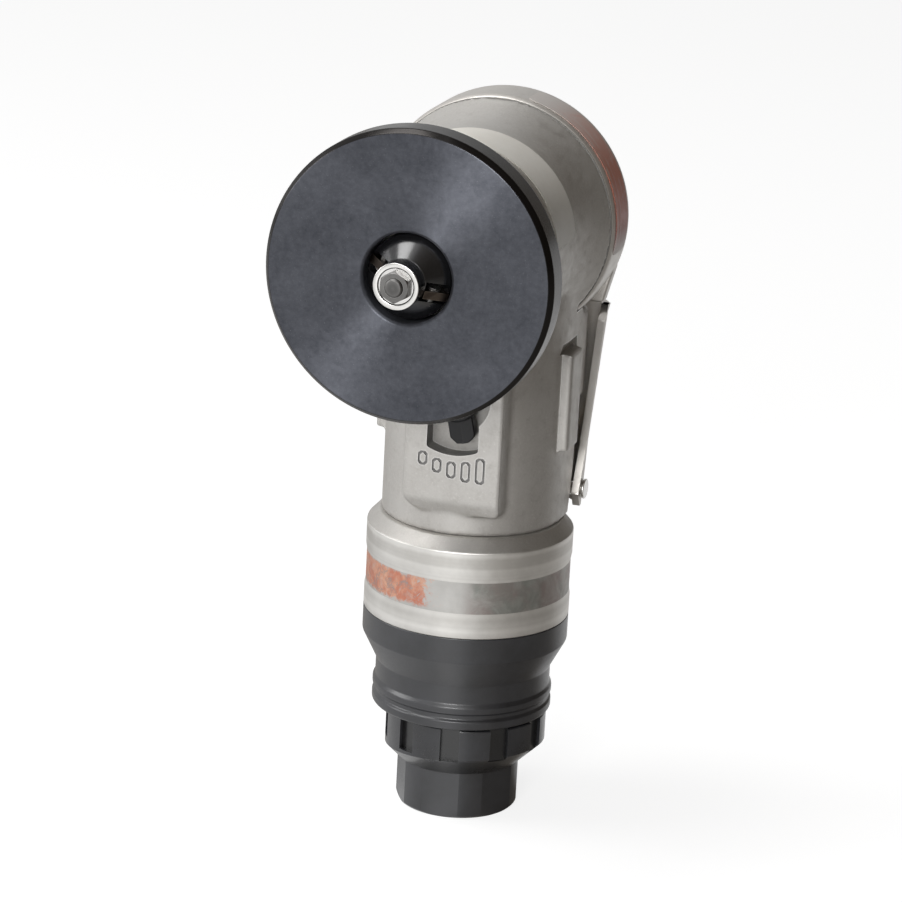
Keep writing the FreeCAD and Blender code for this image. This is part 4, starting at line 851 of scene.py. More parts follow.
@dataclass(frozen=True)
class BlackFinish:
    """Black anodised or blackened metal, satin or glossy, with paler rubbed edges."""

    name: str
    light: Colour = (0.031, 0.032, 0.037)
    dark: Colour = (0.015, 0.0155, 0.018)
    worn: Colour = (0.10, 0.10, 0.105)
    shadow: Colour = (0.002, 0.002, 0.002)
    clouds: Cloud = Cloud(150.0, 4.0, 0.6)
    dust: Cloud = Cloud(1800.0, 4.0, 0.7)
    dust_specks: Range = (0.68, 0.80, 0.0, 0.30)
    dust_relief: Range = (0.006 * MM, 0.10)
    rings: Cloud = Cloud(4200.0, 3.0, 0.65)
    ring_relief: Range = (0.006 * MM, 0.18)
    edge: float = 0.18 * MM
    edge_wear: Range = (0.35, 0.65, 0.15)
    edge_share: float = 0.45
    rough: Range = (0.26, 0.38)
    metal: float = 0.0
    specular: float = 0.8
    coat: float = 0.35
    coat_rough: float = 0.10
    channel: float = 0.0
    channel_blur: float = 0.2 * MM
    channel_share: float = 0.85

    def build(self) -> Material:
        """Make the material: dusty black, with painted shade inside the channel radius where one is set.

        Returns:
            The material.
        """
        g = Graph(self.name)
        clouds, dust = g.noise(self.clouds), g.noise(self.dust)
        rings = g.noise(self.rings, g.lathe_path())
        colour = g.blend(g.spread(clouds, *MIDDLE), self.dark, self.light)
        colour = g.blend(g.spread(dust, *self.dust_specks), colour, self.worn)
        worn = g.times(g.edges(self.edge), g.spread(dust, *self.edge_wear, self.edge_share))
        colour = g.blend(worn, colour, self.worn)
        # Painted shade: surfaces inside the channel radius, such as the deflector's channels and windows,
        # darken towards the shadow colour
        if self.channel:
            channel_shade = g.spread(g.lathe_radius(), self.channel - self.channel_blur, self.channel,
                              self.channel_share, 0.0)
            colour = g.blend(channel_shade, colour, self.shadow)
        rough = g.spread(g.plus(clouds, dust), *SUM_CORE, *self.rough)
        relief = g.bump(rings, *self.ring_relief)
        relief = g.bump(dust, *self.dust_relief, relief)
        return g.finish(colour, rough, relief, self.metal, Specular_IOR_Level=self.specular,
                        Coat_Weight=self.coat, Coat_Roughness=self.coat_rough)


@dataclass(frozen=True)
class SoftFinish:
    """Rubber, felt, gasket paper and composite: matt, with their own grain."""

    name: str
    light: Colour
    dark: Colour
    grain: Cloud = Cloud(1500.0, 4.0, 0.7)
    relief: Range = (0.03 * MM, 0.5)
    clouds: Cloud = Cloud(220.0, 3.0, 0.6)
    rough: Range = (0.6, 0.9)
    sheen: float = 0.0

    def build(self) -> Material:
        """Make the material: one grain for both its tone and its relief.

        Returns:
            The material.
        """
        g = Graph(self.name)
        grain, clouds = g.noise(self.grain), g.noise(self.clouds)
        colour = g.blend(g.spread(g.plus(grain, clouds), *SUM_CORE), self.dark, self.light)
        rough = g.spread(clouds, *MIDDLE, *self.rough)
        relief = g.bump(grain, *self.relief)
        return g.finish(colour, rough, relief, 0.0, Sheen_Weight=self.sheen)


@dataclass(frozen=True)
class LabelFinish:
    """A bare printed film: even colour, faint creases, grubby edges and scuffs."""

    name: str
    light: Colour
    dark: Colour
    grub: Colour
    clouds: Cloud = Cloud(140.0, 5.0, 0.65)
    fibres: Cloud = Cloud(1600.0, 4.0, 0.7)
    fibre_relief: Range = (0.006 * MM, 0.2)
    scuffs: Cloud = Cloud(420.0, 6.0, 0.8, 2.0)
    scuff_marks: Range = (0.60, 0.78, 0.0, 0.40)
    scuff_relief: Range = (0.02 * MM, 0.25)
    edge: float = 0.5 * MM
    edge_share: float = 0.6
    rough: Range = (0.34, 0.52)
    coat: float = 0.15
    coat_rough: float = 0.25

    def build(self) -> Material:
        """Make the material: an even film with grubby marks and edges.

        Returns:
            The material.
        """
        g = Graph(self.name)
        fibres, scuffs = g.noise(self.fibres), g.noise(self.scuffs)
        colour = g.blend(g.spread(g.noise(self.clouds), *MIDDLE), self.dark, self.light)
        colour = g.blend(g.spread(scuffs, *self.scuff_marks), colour, self.grub)
        colour = g.blend(g.times(g.edges(self.edge), self.edge_share), colour, self.grub)
        rough = g.spread(scuffs, *MIDDLE, *self.rough)
        relief = g.bump(scuffs, *self.scuff_relief)
        relief = g.bump(fibres, *self.fibre_relief, relief)
        return g.finish(colour, rough, relief, 0.0, Coat_Weight=self.coat,
                        Coat_Roughness=self.coat_rough)


@dataclass(frozen=True)
class RimFilmFinish:
    """A film on the drum's rim: red that fades to purple brown, over bare metal.

    Its places round the rim are in degrees from +X upwards.
    """

    name: str
    bright: Colour
    low: Colour
    bare: Colour
    start: float = -11.0
    start_bare: float = -13.0
    start_full: float = -1.0
    middle: float = 24.0
    end: float = 70.0
    end_full: float = 56.0
    end_bare: float = 74.0
    blots: Cloud = Cloud(190.0, 5.0, 0.7, 1.0)
    blot_fade: Range = (0.15, 0.50, 0.4, 1.0)
    blot_relief: Range = (0.02 * MM, 0.3)
    stripes: Cloud = Cloud(520.0, 3.0, 0.6)
    ragged: Range = (1.02, 1.30)
    ragged_share: float = 0.7
    rough: Range = (0.36, 0.55)
    metal: float = 0.25

    def build(self) -> Material:
        """Make the material: two reds, worn to bare metal at both ends and in blots.

        Returns:
            The material.
        """
        g = Graph(self.name)
        z, angle = g.axes()[2], g.around()
        blots, stripes = g.noise(self.blots), g.noise(self.stripes, z)
        colour = g.blend(g.spread(angle, self.start, self.middle), self.low, self.bright)
        fade = g.times(g.spread(angle, self.middle, self.end), g.spread(blots, *self.blot_fade))
        colour = g.blend(fade, colour, self.bare)
        ends = g.math("MAXIMUM", g.spread(angle, self.end_full, self.end_bare),
                      g.spread(angle, self.start_bare, self.start_full, 1.0, 0.0))
        colour = g.blend(ends, colour, self.bare)
        ragged = g.times(g.spread(g.plus(blots, stripes), *self.ragged), self.ragged_share)
        colour = g.blend(ragged, colour, self.bare)
        relief = g.bump(blots, *self.blot_relief)
        return g.finish(colour, g.spread(blots, *MIDDLE, *self.rough), relief, self.metal)


@dataclass(frozen=True)
class BandFinish:
    """The collar's shallow band: turned metal under the worn remains of an old film.

    Its places round the collar are in degrees from +X towards +Y, and its heights are the
    machine's own.
    """

    name: str
    light: Colour
    dark: Colour
    film: Colour
    glue: Colour
    grey: Colour = (0.30, 0.31, 0.285)
    pale: Colour = (0.74, 0.42, 0.29)
    film_low: float = 48.2 * MM
    film_high: float = 54.7 * MM
    film_fray: float = 0.6 * MM
    film_drop: float = 4.0 * MM
    film_bow: float = 60.0
    film_start: Range = (-172.0, -166.0)
    film_end: Range = (-100.0, -94.0, 1.0, 0.0)
    film_wear: Range = (0.30, 0.50, 0.45, 1.0)
    film_pale: Range = (0.42, 0.62)
    film_glue: Range = (0.52, 0.66)
    glue_start: Range = (-77.0, -69.0)
    glue_end: Range = (10.0, 30.0, 1.0, 0.0)
    glue_wear: Range = (0.35, 0.60, 0.35, 0.90)
    glue_grey: Range = (0.40, 0.60)
    rings: Cloud = Cloud(9000.0, 4.0, 0.7)
    ring_relief: Range = (0.006 * MM, 0.4)
    blots: Cloud = Cloud(330.0, 6.0, 0.75, 1.2)
    blot_relief: Range = (0.03 * MM, 0.3)
    clouds: Cloud = Cloud(110.0, 4.0, 0.6)
    patches: Cloud = Cloud(210.0, 5.0, 0.7, 0.8)
    rough: Range = (0.34, 0.60)
    metal: float = 0.8

    def film_mask(self, g: Graph, angle: Socket, z: Socket, blots: Socket) -> Socket:
        """Give where the film is left, with frayed ends and sides.

        Args:
            g: The material's graph.
            angle: The angle round the collar.
            z: The height.
            blots: The pattern that frays it.

        Returns:
            A mask that is 1 on whole film.
        """
        uneven = g.minus(blots, 0.5)
        bowed = g.plus(angle, g.times(uneven, self.film_bow))
        ends = g.times(g.spread(bowed, *self.film_start), g.spread(bowed, *self.film_end))
        drop = g.plus(z, g.times(uneven, self.film_drop))
        above = g.spread(drop, self.film_low, self.film_low + self.film_fray)
        below = g.spread(drop, self.film_high - self.film_fray, self.film_high, 1.0, 0.0)
        return g.times(g.times(ends, g.times(above, below)), g.spread(blots, *self.film_wear))

    def build(self) -> Material:
        """Make the material: bare turned metal, a stain of old glue, and the film's remains.

        Returns:
            The material.
        """
        g = Graph(self.name)
        z, angle = g.axes()[2], g.around()
        rings = g.noise(self.rings, z)
        blots, clouds, patches = g.noise(self.blots), g.noise(self.clouds), g.noise(self.patches)
        film = self.film_mask(g, angle, z, blots)
        stain = g.times(g.spread(angle, *self.glue_start), g.spread(angle, *self.glue_end))
        stain = g.times(stain, g.spread(patches, *self.glue_wear))
        glue = g.blend(g.spread(clouds, *self.glue_grey), self.glue, self.grey)
        colour = g.blend(g.spread(clouds, *MIDDLE), self.dark, self.light)
        colour = g.blend(stain, colour, glue)
        faded = g.blend(g.spread(patches, *self.film_pale), self.film, self.pale)
        colour = g.blend(film, colour, g.blend(g.spread(blots, *self.film_glue), faded, self.glue))
        rough = g.spread(g.plus(rings, blots), *SUM_MIDDLE, *self.rough)
        relief = g.bump(rings, *self.ring_relief)
        relief = g.bump(g.plus(film, blots), *self.blot_relief, relief)
        return g.finish(colour, rough, relief, self.metal)


# The finishes of this machine

CAST = CastFinish("cast_aluminium", (0.57, 0.555, 0.53), (0.37, 0.35, 0.325), (0.80, 0.79, 0.77))
# A darker copy of the casting, painted as shade on the recess walls and bar outlines
SHADED_CAST = CastFinish("cast_painted_shade", (0.24, 0.235, 0.23), (0.12, 0.118, 0.115), (0.46, 0.45, 0.44))
COVER = CastFinish("machined_cover", (0.64, 0.615, 0.58), (0.50, 0.475, 0.445), (0.74, 0.72, 0.68),
                   grain_relief=(0.05 * MM, 0.22), rough=(0.34, 0.48), metal=0.75)
SHOULDER = CastFinish("blasted_shoulder", (0.54, 0.525, 0.50), (0.36, 0.34, 0.315), (0.80, 0.79, 0.77),
                      rough=(0.42, 0.56))
COLLAR = TurnedFinish("turned_aluminium", (0.80, 0.785, 0.755), (0.60, 0.585, 0.555), (0.88, 0.86, 0.82),
                      rough=(0.36, 0.48))
BAND = BandFinish("collar_band", (0.60, 0.59, 0.57), (0.46, 0.45, 0.43), (0.60, 0.23, 0.15),
                  (0.36, 0.30, 0.285))
PLATE = PlateFinish("blued_plate", (0.112, 0.117, 0.135), (0.047, 0.050, 0.060), (0.36, 0.37, 0.39))
SATIN_BLACK = BlackFinish("black_anodised", rough=(0.30, 0.42), coat=0.15)
# Satin black with painted shade inside the deflector's channel radius
CHANNEL_BLACK = BlackFinish("black_channels", channel=16.1 * MM, specular=0.6)
GLOSS_BLACK = BlackFinish("gloss_black_steel", light=(0.012, 0.012, 0.013), dark=(0.006, 0.006, 0.007),
                          worn=(0.05, 0.05, 0.05), rough=(0.16, 0.26), ring_relief=(0.006 * MM, 0.10))
KNURL_BLACK = BlackFinish("blackened_ring", rough=(0.30, 0.46), edge_share=0.7)
LEVER_BLACK = BlackFinish("black_regulator", light=(0.009, 0.009, 0.011), dark=(0.004, 0.004, 0.005),
                          worn=(0.05, 0.05, 0.052), rough=(0.30, 0.42), specular=0.35, coat=0.15)
BRIGHT_STEEL = TurnedFinish("bright_steel", (0.86, 0.85, 0.83), (0.66, 0.65, 0.63), (0.93, 0.92, 0.90),
                            rough=(0.16, 0.28), anisotropy=0.3)
BEARING_STEEL = TurnedFinish("bearing_steel", (0.80, 0.79, 0.77), (0.62, 0.61, 0.60), (0.9, 0.9, 0.88),
                             rough=(0.12, 0.22), anisotropy=0.2)
DARK_STEEL = TurnedFinish("dark_steel", (0.18, 0.177, 0.172), (0.09, 0.088, 0.086), (0.36, 0.35, 0.34),
                          rough=(0.40, 0.52), anisotropy=0.1)
CARBIDE = TurnedFinish("carbide", (0.13, 0.105, 0.085), (0.07, 0.055, 0.045), (0.30, 0.26, 0.22),
                       rough=(0.28, 0.40), anisotropy=0.0)
BRASS = TurnedFinish("brass", (0.78, 0.56, 0.22), (0.55, 0.38, 0.14), (0.9, 0.72, 0.38),
                     rough=(0.20, 0.34), anisotropy=0.3)
IRON = CastFinish("cylinder_iron", (0.30, 0.29, 0.28), (0.16, 0.155, 0.15), (0.5, 0.49, 0.47), metal=0.9)
RUBBER = SoftFinish("seal_rubber", (0.030, 0.030, 0.032), (0.012, 0.012, 0.013))
VANES = SoftFinish("vane_composite", (0.20, 0.11, 0.045), (0.10, 0.055, 0.025), rough=(0.45, 0.65))
FELT = SoftFinish("silencer_felt", (0.34, 0.34, 0.33), (0.20, 0.20, 0.195), grain=Cloud(2200.0, 4.0, 0.7),
                  relief=(0.12 * MM, 1.0), sheen=0.4)
PAPER = SoftFinish("gasket_paper", (0.34, 0.33, 0.31), (0.26, 0.25, 0.235), grain=Cloud(1900.0, 4.0, 0.7))
CREAM_FILM = LabelFinish("cream_film", (0.95, 0.92, 0.85), (0.88, 0.845, 0.77), (0.46, 0.42, 0.35))
RED_FILM = RimFilmFinish("red_film", (0.55, 0.17, 0.10), (0.28, 0.12, 0.11), (0.64, 0.60, 0.565))

SLOT_FINISHES: dict[str, Finish] = {
    "cast_housing": CAST, "turned_aluminium": COLLAR, "smooth_aluminium": COVER, "slate_steel": PLATE,
    "black_metal": SATIN_BLACK, "gloss_black_steel": GLOSS_BLACK, "bright_steel": BRIGHT_STEEL,
    "bearing_steel": BEARING_STEEL, "dark_steel": DARK_STEEL, "carbide": CARBIDE, "brass_parts": BRASS,
    "seal_rubber": RUBBER, "vane_composite": VANES, "cylinder_iron": IRON, "felt": FELT,
    "label_cream": CREAM_FILM, "label_red": RED_FILM, "gasket_paper": PAPER,
}


class PaintShop:
    """Keeps one material for each finish and dresses pieces with them."""

    def __init__(self) -> None:
        """Start with no material made."""
        self.made: dict[str, Material] = {}

    def material(self, finish: Finish) -> Material:
        """Give a finish's material, made once.

        Args:
            finish: The finish.

        Returns:
            The material.
        """
        if finish.name not in self.made:
            self.made[finish.name] = finish.build()
        return self.made[finish.name]

    def dress(self, piece: Piece, finish: Finish, body: str, slot: str,
              nodes: Sequence[str] = ()) -> Piece:
        """Give a piece its finish and its body, and hide the nodes that it stands for.

        Args:
            piece: The piece.
            finish: Its finish.
            body: The body that it rides on.
            slot: The record's material slot; not used.
            nodes: The CAD nodes that it replaces.

        Returns:
            The same piece.
        """
        piece.data.materials.clear()
        piece.data.materials.append(self.material(finish))
        shade(piece)
        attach(piece, body)
        if nodes:
            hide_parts(*nodes)
        LOG.info("%s rides on %s, %d faces", piece.name, body, len(piece.data.polygons))
        return piece

    def dress_carried_over(self) -> None:
        """Give every CAD node the finish of its material slot."""
        for part in frame["record"]["subparts"]:
            node = frame["nodes"][part["node"]]
            node.data.materials.clear()
            node.data.materials.append(self.material(SLOT_FINISHES[part["material_slot"]]))
            LOG.info("node %s wears %s", part["node"], part["material_slot"])


# Sub-assemblies

@dataclass
class Casting:
    """The cast housing: neck, nose and flare, the D-shaped handle, the pad and the side bars."""

    neck_radius: float = 15.0 * MM
    neck_ahead: float = 40.0 * MM
    neck_groove_radius: float = 14.0 * MM
    neck_groove_back: float = 24.4 * MM
    neck_groove_width: float = 3.4 * MM
    seal_room_radius: float = 8.0 * MM
    seal_room_depth: float = 13.0 * MM
    nose_radius: float = 20.8 * MM
    nose_ahead: float = 24.0 * MM
    nose_edge: float = 0.6 * MM
    flare_start: float = 8.6 * MM
    flare_hollow: float = 0.7 * MM
    rim_radius: float = 24.6 * MM
    rim_ahead: float = -4.3 * MM
    handle_half: float = 18.6 * MM
    handle_front_centre: float = 0.8 * MM
    handle_back: float = 13.5 * MM
    handle_corner: float = 5.0 * MM
    handle_low: float = 63.3 * MM
    handle_high: float = 115.6 * MM
    rebate: float = 1.2 * MM
    rebate_low_back: float = 7.2 * MM
    rebate_high_back: float = 11.2 * MM
    rebate_rise: float = 17.2 * MM
    heel_half: float = 13.5 * MM
    heel_back: float = 15.5 * MM
    heel_high: float = 71.7 * MM
    rise_low: float = 87.0 * MM
    rise_high: float = 105.0 * MM
    rise_back: float = 17.8 * MM
    pad_centre: float = 1.0 * MM
    pad_half: float = 10.2 * MM
    pad_ahead: float = 19.3 * MM
    pad_low: float = 67.7 * MM
    pad_high: float = 111.6 * MM
    pad_corner: float = 4.2 * MM
    pad_right_corner: float = 1.8 * MM
    pad_foot: float = 1.6 * MM
    pad_foot_rise: float = 2.8 * MM
    recess_ahead: float = 15.3 * MM
    recess_half: float = 5.35 * MM
    recess_reach: float = 12.05 * MM
    recess_corner: float = 1.2 * MM
    recess_sharpest: float = 40.0
    recess_shift: float = 1.0
    hub_height: float = 92.4 * MM
    hub_room: float = 7.5 * MM
    bar_count: int = 5
    bar_pitch: float = 3.0 * MM
    bar_width: float = 2.0 * MM
    bar_line: float = 0.42 * MM
    bar_depth: float = 0.4 * MM
    dust: float = 0.04 * MM
    # Where shade is painted in the recess and bar outlines: half width and lowest height
    shade_half: float = 8.6 * MM
    shade_low: float = 73.0 * MM
    steep: float = 0.6
    bar_reach: float = 13.3 * MM
    bar_short: float = 2.9 * MM
    bar_growth: float = 2.5 * MM
    bar_corner: float = 0.5 * MM
    side_bar_proud: float = 1.8 * MM
    side_bar_front: float = -3.2 * MM
    side_bar_back: float = 4.8 * MM
    side_bar_low: float = 79.1 * MM
    side_bar_high: float = 99.4 * MM
    side_bar_edge: float = 0.5 * MM
    groove_width: float = 1.0 * MM
    groove_depth: float = 0.5 * MM
    hood_rise: float = 2.0 * MM
    hood_depth: float = 1.3 * MM
    cover_room_radius: float = 25.3 * MM
    voxel: float = 0.42 * MM
    quick_voxel: float = 0.6 * MM
    smoothing_rounds: int = 5

    def head(self) -> Piece:
        """Turn the neck, the nose and the flare up to the rim.

        Returns:
            The piece.
        """
        outline: Outline = [(0, self.rim_ahead), (self.rim_radius, self.rim_ahead)]
        steps = 10
        for i in range(1, steps):
            t = i / steps
            radius = self.rim_radius + (self.nose_radius - self.rim_radius) * t
            hollow = 4 * self.flare_hollow * t * (1 - t)
            outline.append((radius - hollow, self.rim_ahead + (self.flare_start - self.rim_ahead) * t))
        outline += [(self.nose_radius, self.flare_start),
                    (self.nose_radius, self.nose_ahead - self.nose_edge),
                    (self.nose_radius - self.nose_edge, self.nose_ahead),
                    (self.neck_radius, self.nose_ahead),
                    (self.neck_radius, self.neck_ahead - self.nose_edge),
                    (self.neck_radius - self.nose_edge, self.neck_ahead), (0, self.neck_ahead)]
        return turn("head", outline, SPINDLE, 160)

    def handle_section(self, back: float) -> Outline:
        """Give the D-shaped outline, round in front and flat behind.

        Args:
            back: How far behind the axis the flat lies.

        Returns:
            The outline.
        """
        half, corner = self.handle_half, self.handle_corner
        outline = arc((0, self.handle_front_centre), half, 180, 360, 48)
        outline += arc((half - corner, back - corner), corner, 0, 90, 8)
        return outline + arc((corner - half, back - corner), corner, 90, 180, 8)

    def handle(self) -> Piece:
        """Extrude the D-shaped handle, narrower where the lever's lugs move."""
        handle = prism("handle", self.handle_section(self.handle_back), self.handle_low, self.handle_high)
        return cut(handle, *(self.rebate_tool(side) for side in Side))

    def heel(self) -> Piece:
        """Make the block that thickens the handle's foot behind the lever's pin."""
        return box("heel", (-self.heel_half, 0, self.handle_low),
                   (self.heel_half, self.heel_back, self.heel_high))

    def rise(self) -> Piece:
        """Make the wedge that thickens the handle's back towards the head.

        Returns:
            The piece.
        """
        wedge = prism("rise", self.handle_section(self.rise_back), self.rise_low, self.rise_high)
        slope = (self.rise_back - self.handle_back) / (self.rise_high - self.rise_low)
        far, reach = self.rise_back + self.handle_half, slope * OVERRUN
        behind = prism("behind", [(self.handle_back - reach, self.rise_low - OVERRUN),
                                  (self.rise_back + reach, self.rise_high + OVERRUN),
                                  (far, self.rise_high + OVERRUN), (far, self.rise_low - OVERRUN)],
                       -self.handle_half - OVERRUN, self.handle_half + OVERRUN, SIDEWAYS)
        return cut(wedge, behind)

    def rebate_tool(self, side: Side) -> Piece:
        """Make the wedge that narrows one side of the handle behind a slanted line.

        Args:
            side: The side of the handle.

        Returns:
            The tool.
        """
        slope = (self.rebate_high_back - self.rebate_low_back) / self.rebate_rise
        low, high = self.handle_low - OVERRUN, self.handle_low + self.rebate_rise
        far = self.handle_back + OVERRUN
        outline = [(self.rebate_low_back - slope * OVERRUN, low), (self.rebate_high_back, high),
                   (far, high), (far, low)]
        near = self.handle_half - self.rebate
        return prism("rebate", outline, *side.span(near, self.handle_half + OVERRUN), SIDEWAYS)

    def pad(self) -> Piece:
        """Make the raised pad with its rounded lower corners and sloped foot.

        Returns:
            The piece.
        """
        left, right = self.pad_centre - self.pad_half, self.pad_centre + self.pad_half
        corner, tight, low = self.pad_corner, self.pad_right_corner, self.pad_low
        outline = [(left, self.pad_high)] + arc((left + corner, low + corner), corner, 180, 270, 8)
        outline += arc((right - tight, low + tight), tight, 270, 360, 8) + [(right, self.pad_high)]
        pad = prism("pad", outline, 0, self.pad_ahead, FACING)
        steep = self.pad_foot_rise / self.pad_foot
        foot = prism("foot", [(-self.pad_ahead - OVERRUN, low - OVERRUN),
                              (-self.pad_ahead - OVERRUN, low + self.pad_foot_rise + OVERRUN * steep),
                              (-self.pad_ahead + self.pad_foot, low)],
                     left - OVERRUN, right + OVERRUN, SIDEWAYS)
        return cut(pad, foot)

    def side_bar(self, side: Side) -> Piece:
        """Make the raised bar on one side of the handle.

        Args:
            side: The side of the handle.

        Returns:
            The piece.
        """
        outer, edge = self.handle_half + self.side_bar_proud, self.side_bar_edge
        across = [(0, self.side_bar_front), (outer - edge, self.side_bar_front),
                  (outer, self.side_bar_front + edge), (outer, self.side_bar_back - edge),
                  (outer - edge, self.side_bar_back), (0, self.side_bar_back)]
        outline = [(side.value * x, y) for x, y in across]
        return prism("side_bar", outline, self.side_bar_low, self.side_bar_high)

    def side_groove_tools(self, side: Side) -> list[Piece]:
        """Make the groove round one side bar and the deeper hood above it.

        Args:
            side: The side of the handle.

        Returns:
            The tools.
        """
        far = self.handle_half + self.side_bar_proud + OVERRUN
        near, end = side.span(self.handle_half - self.groove_depth, far)
        front, back, wide = self.side_bar_front, self.side_bar_back, self.groove_width
        low, top = self.side_bar_low, self.side_bar_high
        tools = [box("groove", (near, start, low), (end, start + wide, top + wide))
                 for start in (front - wide, back)]
        hood = [(front - wide, top), (back + wide, top), (back + wide, top + self.hood_rise),
                (front, top + self.hood_rise)]
        ends = side.span(self.handle_half - self.hood_depth, far)
        return tools + [prism("hood", hood, *ends, SIDEWAYS)]

    def recess_tool(self) -> Piece:
        """Make the fan-shaped pocket with the round room for the hub.

        Returns:
            The tool.
        """
        reach, half = self.recess_reach, self.recess_half
        spread = math.degrees(math.asin(half / reach))
        bottom = arc((0, 0), reach, 270 - spread, 270 + spread, 12)
        outline = [(-half, 0)] + bottom + [(half, 0)]
        aside = [(x + self.recess_shift, y) for x, y in outline]
        fan = soften(aside, self.recess_corner, 4, self.recess_sharpest)
        ends = self.recess_ahead, self.pad_ahead + OVERRUN
        tool = prism("recess", fan, *ends, facing_at(self.pad_centre - self.recess_shift, self.hub_height))
        room = rod("hub_room", self.hub_room, *ends, facing_at(self.pad_centre, self.hub_height), 96)
        return combine(tool, [room], Combine.JOIN)

    def bar_outline(self, top: float, length: float, inset: float) -> Outline:
        """Give one outlined bar's eight corners about its own middle line.

        Args:
            top: The height of its top.
            length: How long it is.
            inset: How far inside the bar the outline runs.

        Returns:
            The corners.
        """
        half, cut = self.bar_width / 2 - inset, self.bar_corner
        high, low = top - inset, top - length + inset
        return [(-half, low + cut), (-half + cut, low), (half - cut, low), (half, low + cut),
                (half, high - cut), (half - cut, high), (-half + cut, high), (-half, high - cut)]

    def bar_tools(self) -> list[Piece]:
        """Make the thin frames that outline the five bars, growing to the right.

        Returns:
            The tools.
        """
        tools = []
        for i in range(self.bar_count):
            across = (i - (self.bar_count - 1) / 2) * self.bar_pitch
            top = -math.sqrt(self.bar_reach ** 2 - across ** 2)
            length = self.bar_short + self.bar_growth * (i / (self.bar_count - 1)) ** 2
            place = facing_at(self.pad_centre + across, self.hub_height)
            floor = self.pad_ahead - self.bar_depth
            outer = prism("bar", self.bar_outline(top, length, 0), floor, self.pad_ahead + OVERRUN, place)
            inner = prism("island", self.bar_outline(top, length, self.bar_line),
                          floor - OVERRUN, self.pad_ahead + 2 * OVERRUN, place)
            tools.append(cut(outer, inner))
        return tools

    def neck_tools(self) -> list[Piece]:
        """Make the neck's groove and the room of the shaft seal.

        Returns:
            The tools.
        """
        low, high = self.neck_groove_back, self.neck_groove_back + self.neck_groove_width
        far = self.neck_radius + OVERRUN / 2
        groove = stairs(self.neck_groove_radius, low, far, high, self.neck_groove_radius)
        seal = rod("seal_room", self.seal_room_radius, self.neck_ahead - self.seal_room_depth,
                   self.neck_ahead + OVERRUN, SPINDLE)
        return [turn("neck_groove", groove, SPINDLE, 96), seal]

    def build(self) -> Piece:
        """Cast the body in one skin with soft inner corners, then cut its crisp details.

        Returns:
            The casting.
        """
        parts = [self.head(), self.handle(), self.heel(), self.rise(), self.pad()]
        parts += [self.side_bar(side) for side in Side]
        body = join("housing_casting", parts)
        remesh = body.modifiers.new("cast", "REMESH")
        remesh.mode = "VOXEL"
        remesh.voxel_size = self.voxel
        settle(body)
        smooth = body.modifiers.new("soft", "SMOOTH")
        smooth.factor = 0.5
        smooth.iterations = self.smoothing_rounds
        settle(body)
        room = rod("cover_room", self.cover_room_radius, -self.rise_back - 2 * OVERRUN, self.rim_ahead,
                   SPINDLE, 192)
        tools = [room, self.recess_tool()] + self.neck_tools()
        for side in Side:
            tools += self.side_groove_tools(side)
        return cut(body, *tools, *self.bar_tools())

    def shaded(self, face: bpy.types.MeshPolygon) -> bool:
        """Tell whether a face is a wall of the recess or belongs to an outlined bar.

        Args:
            face: A face of the casting.

        Returns:
            True where shade is painted on the casting.
        """
        x, y, z = face.center
        if abs(x - self.pad_centre) > self.shade_half or z < self.shade_low:
            return False
        depth = self.pad_ahead + y
        if depth > self.pad_ahead - self.recess_ahead - self.dust or depth < self.dust:
            return False
        return abs(face.normal.y) < self.steep or abs(depth - self.bar_depth) < self.dust

    def dress(self, shop: PaintShop) -> None:
        """Finish the casting as blasted aluminium, with painted shade on its recess walls and bar outlines.

        Args:
            shop: The paint shop, which keeps the materials.
        """
        casting = shop.dress(self.build(), CAST, "motor_body", "cast_housing", ["housing"])
        # Painted shade: faces of the recess walls and bar outlines take the darker casting copy
        casting.data.materials.append(shop.material(SHADED_CAST))
        for face in casting.data.polygons:
            if self.shaded(face):
                face.material_index = 1


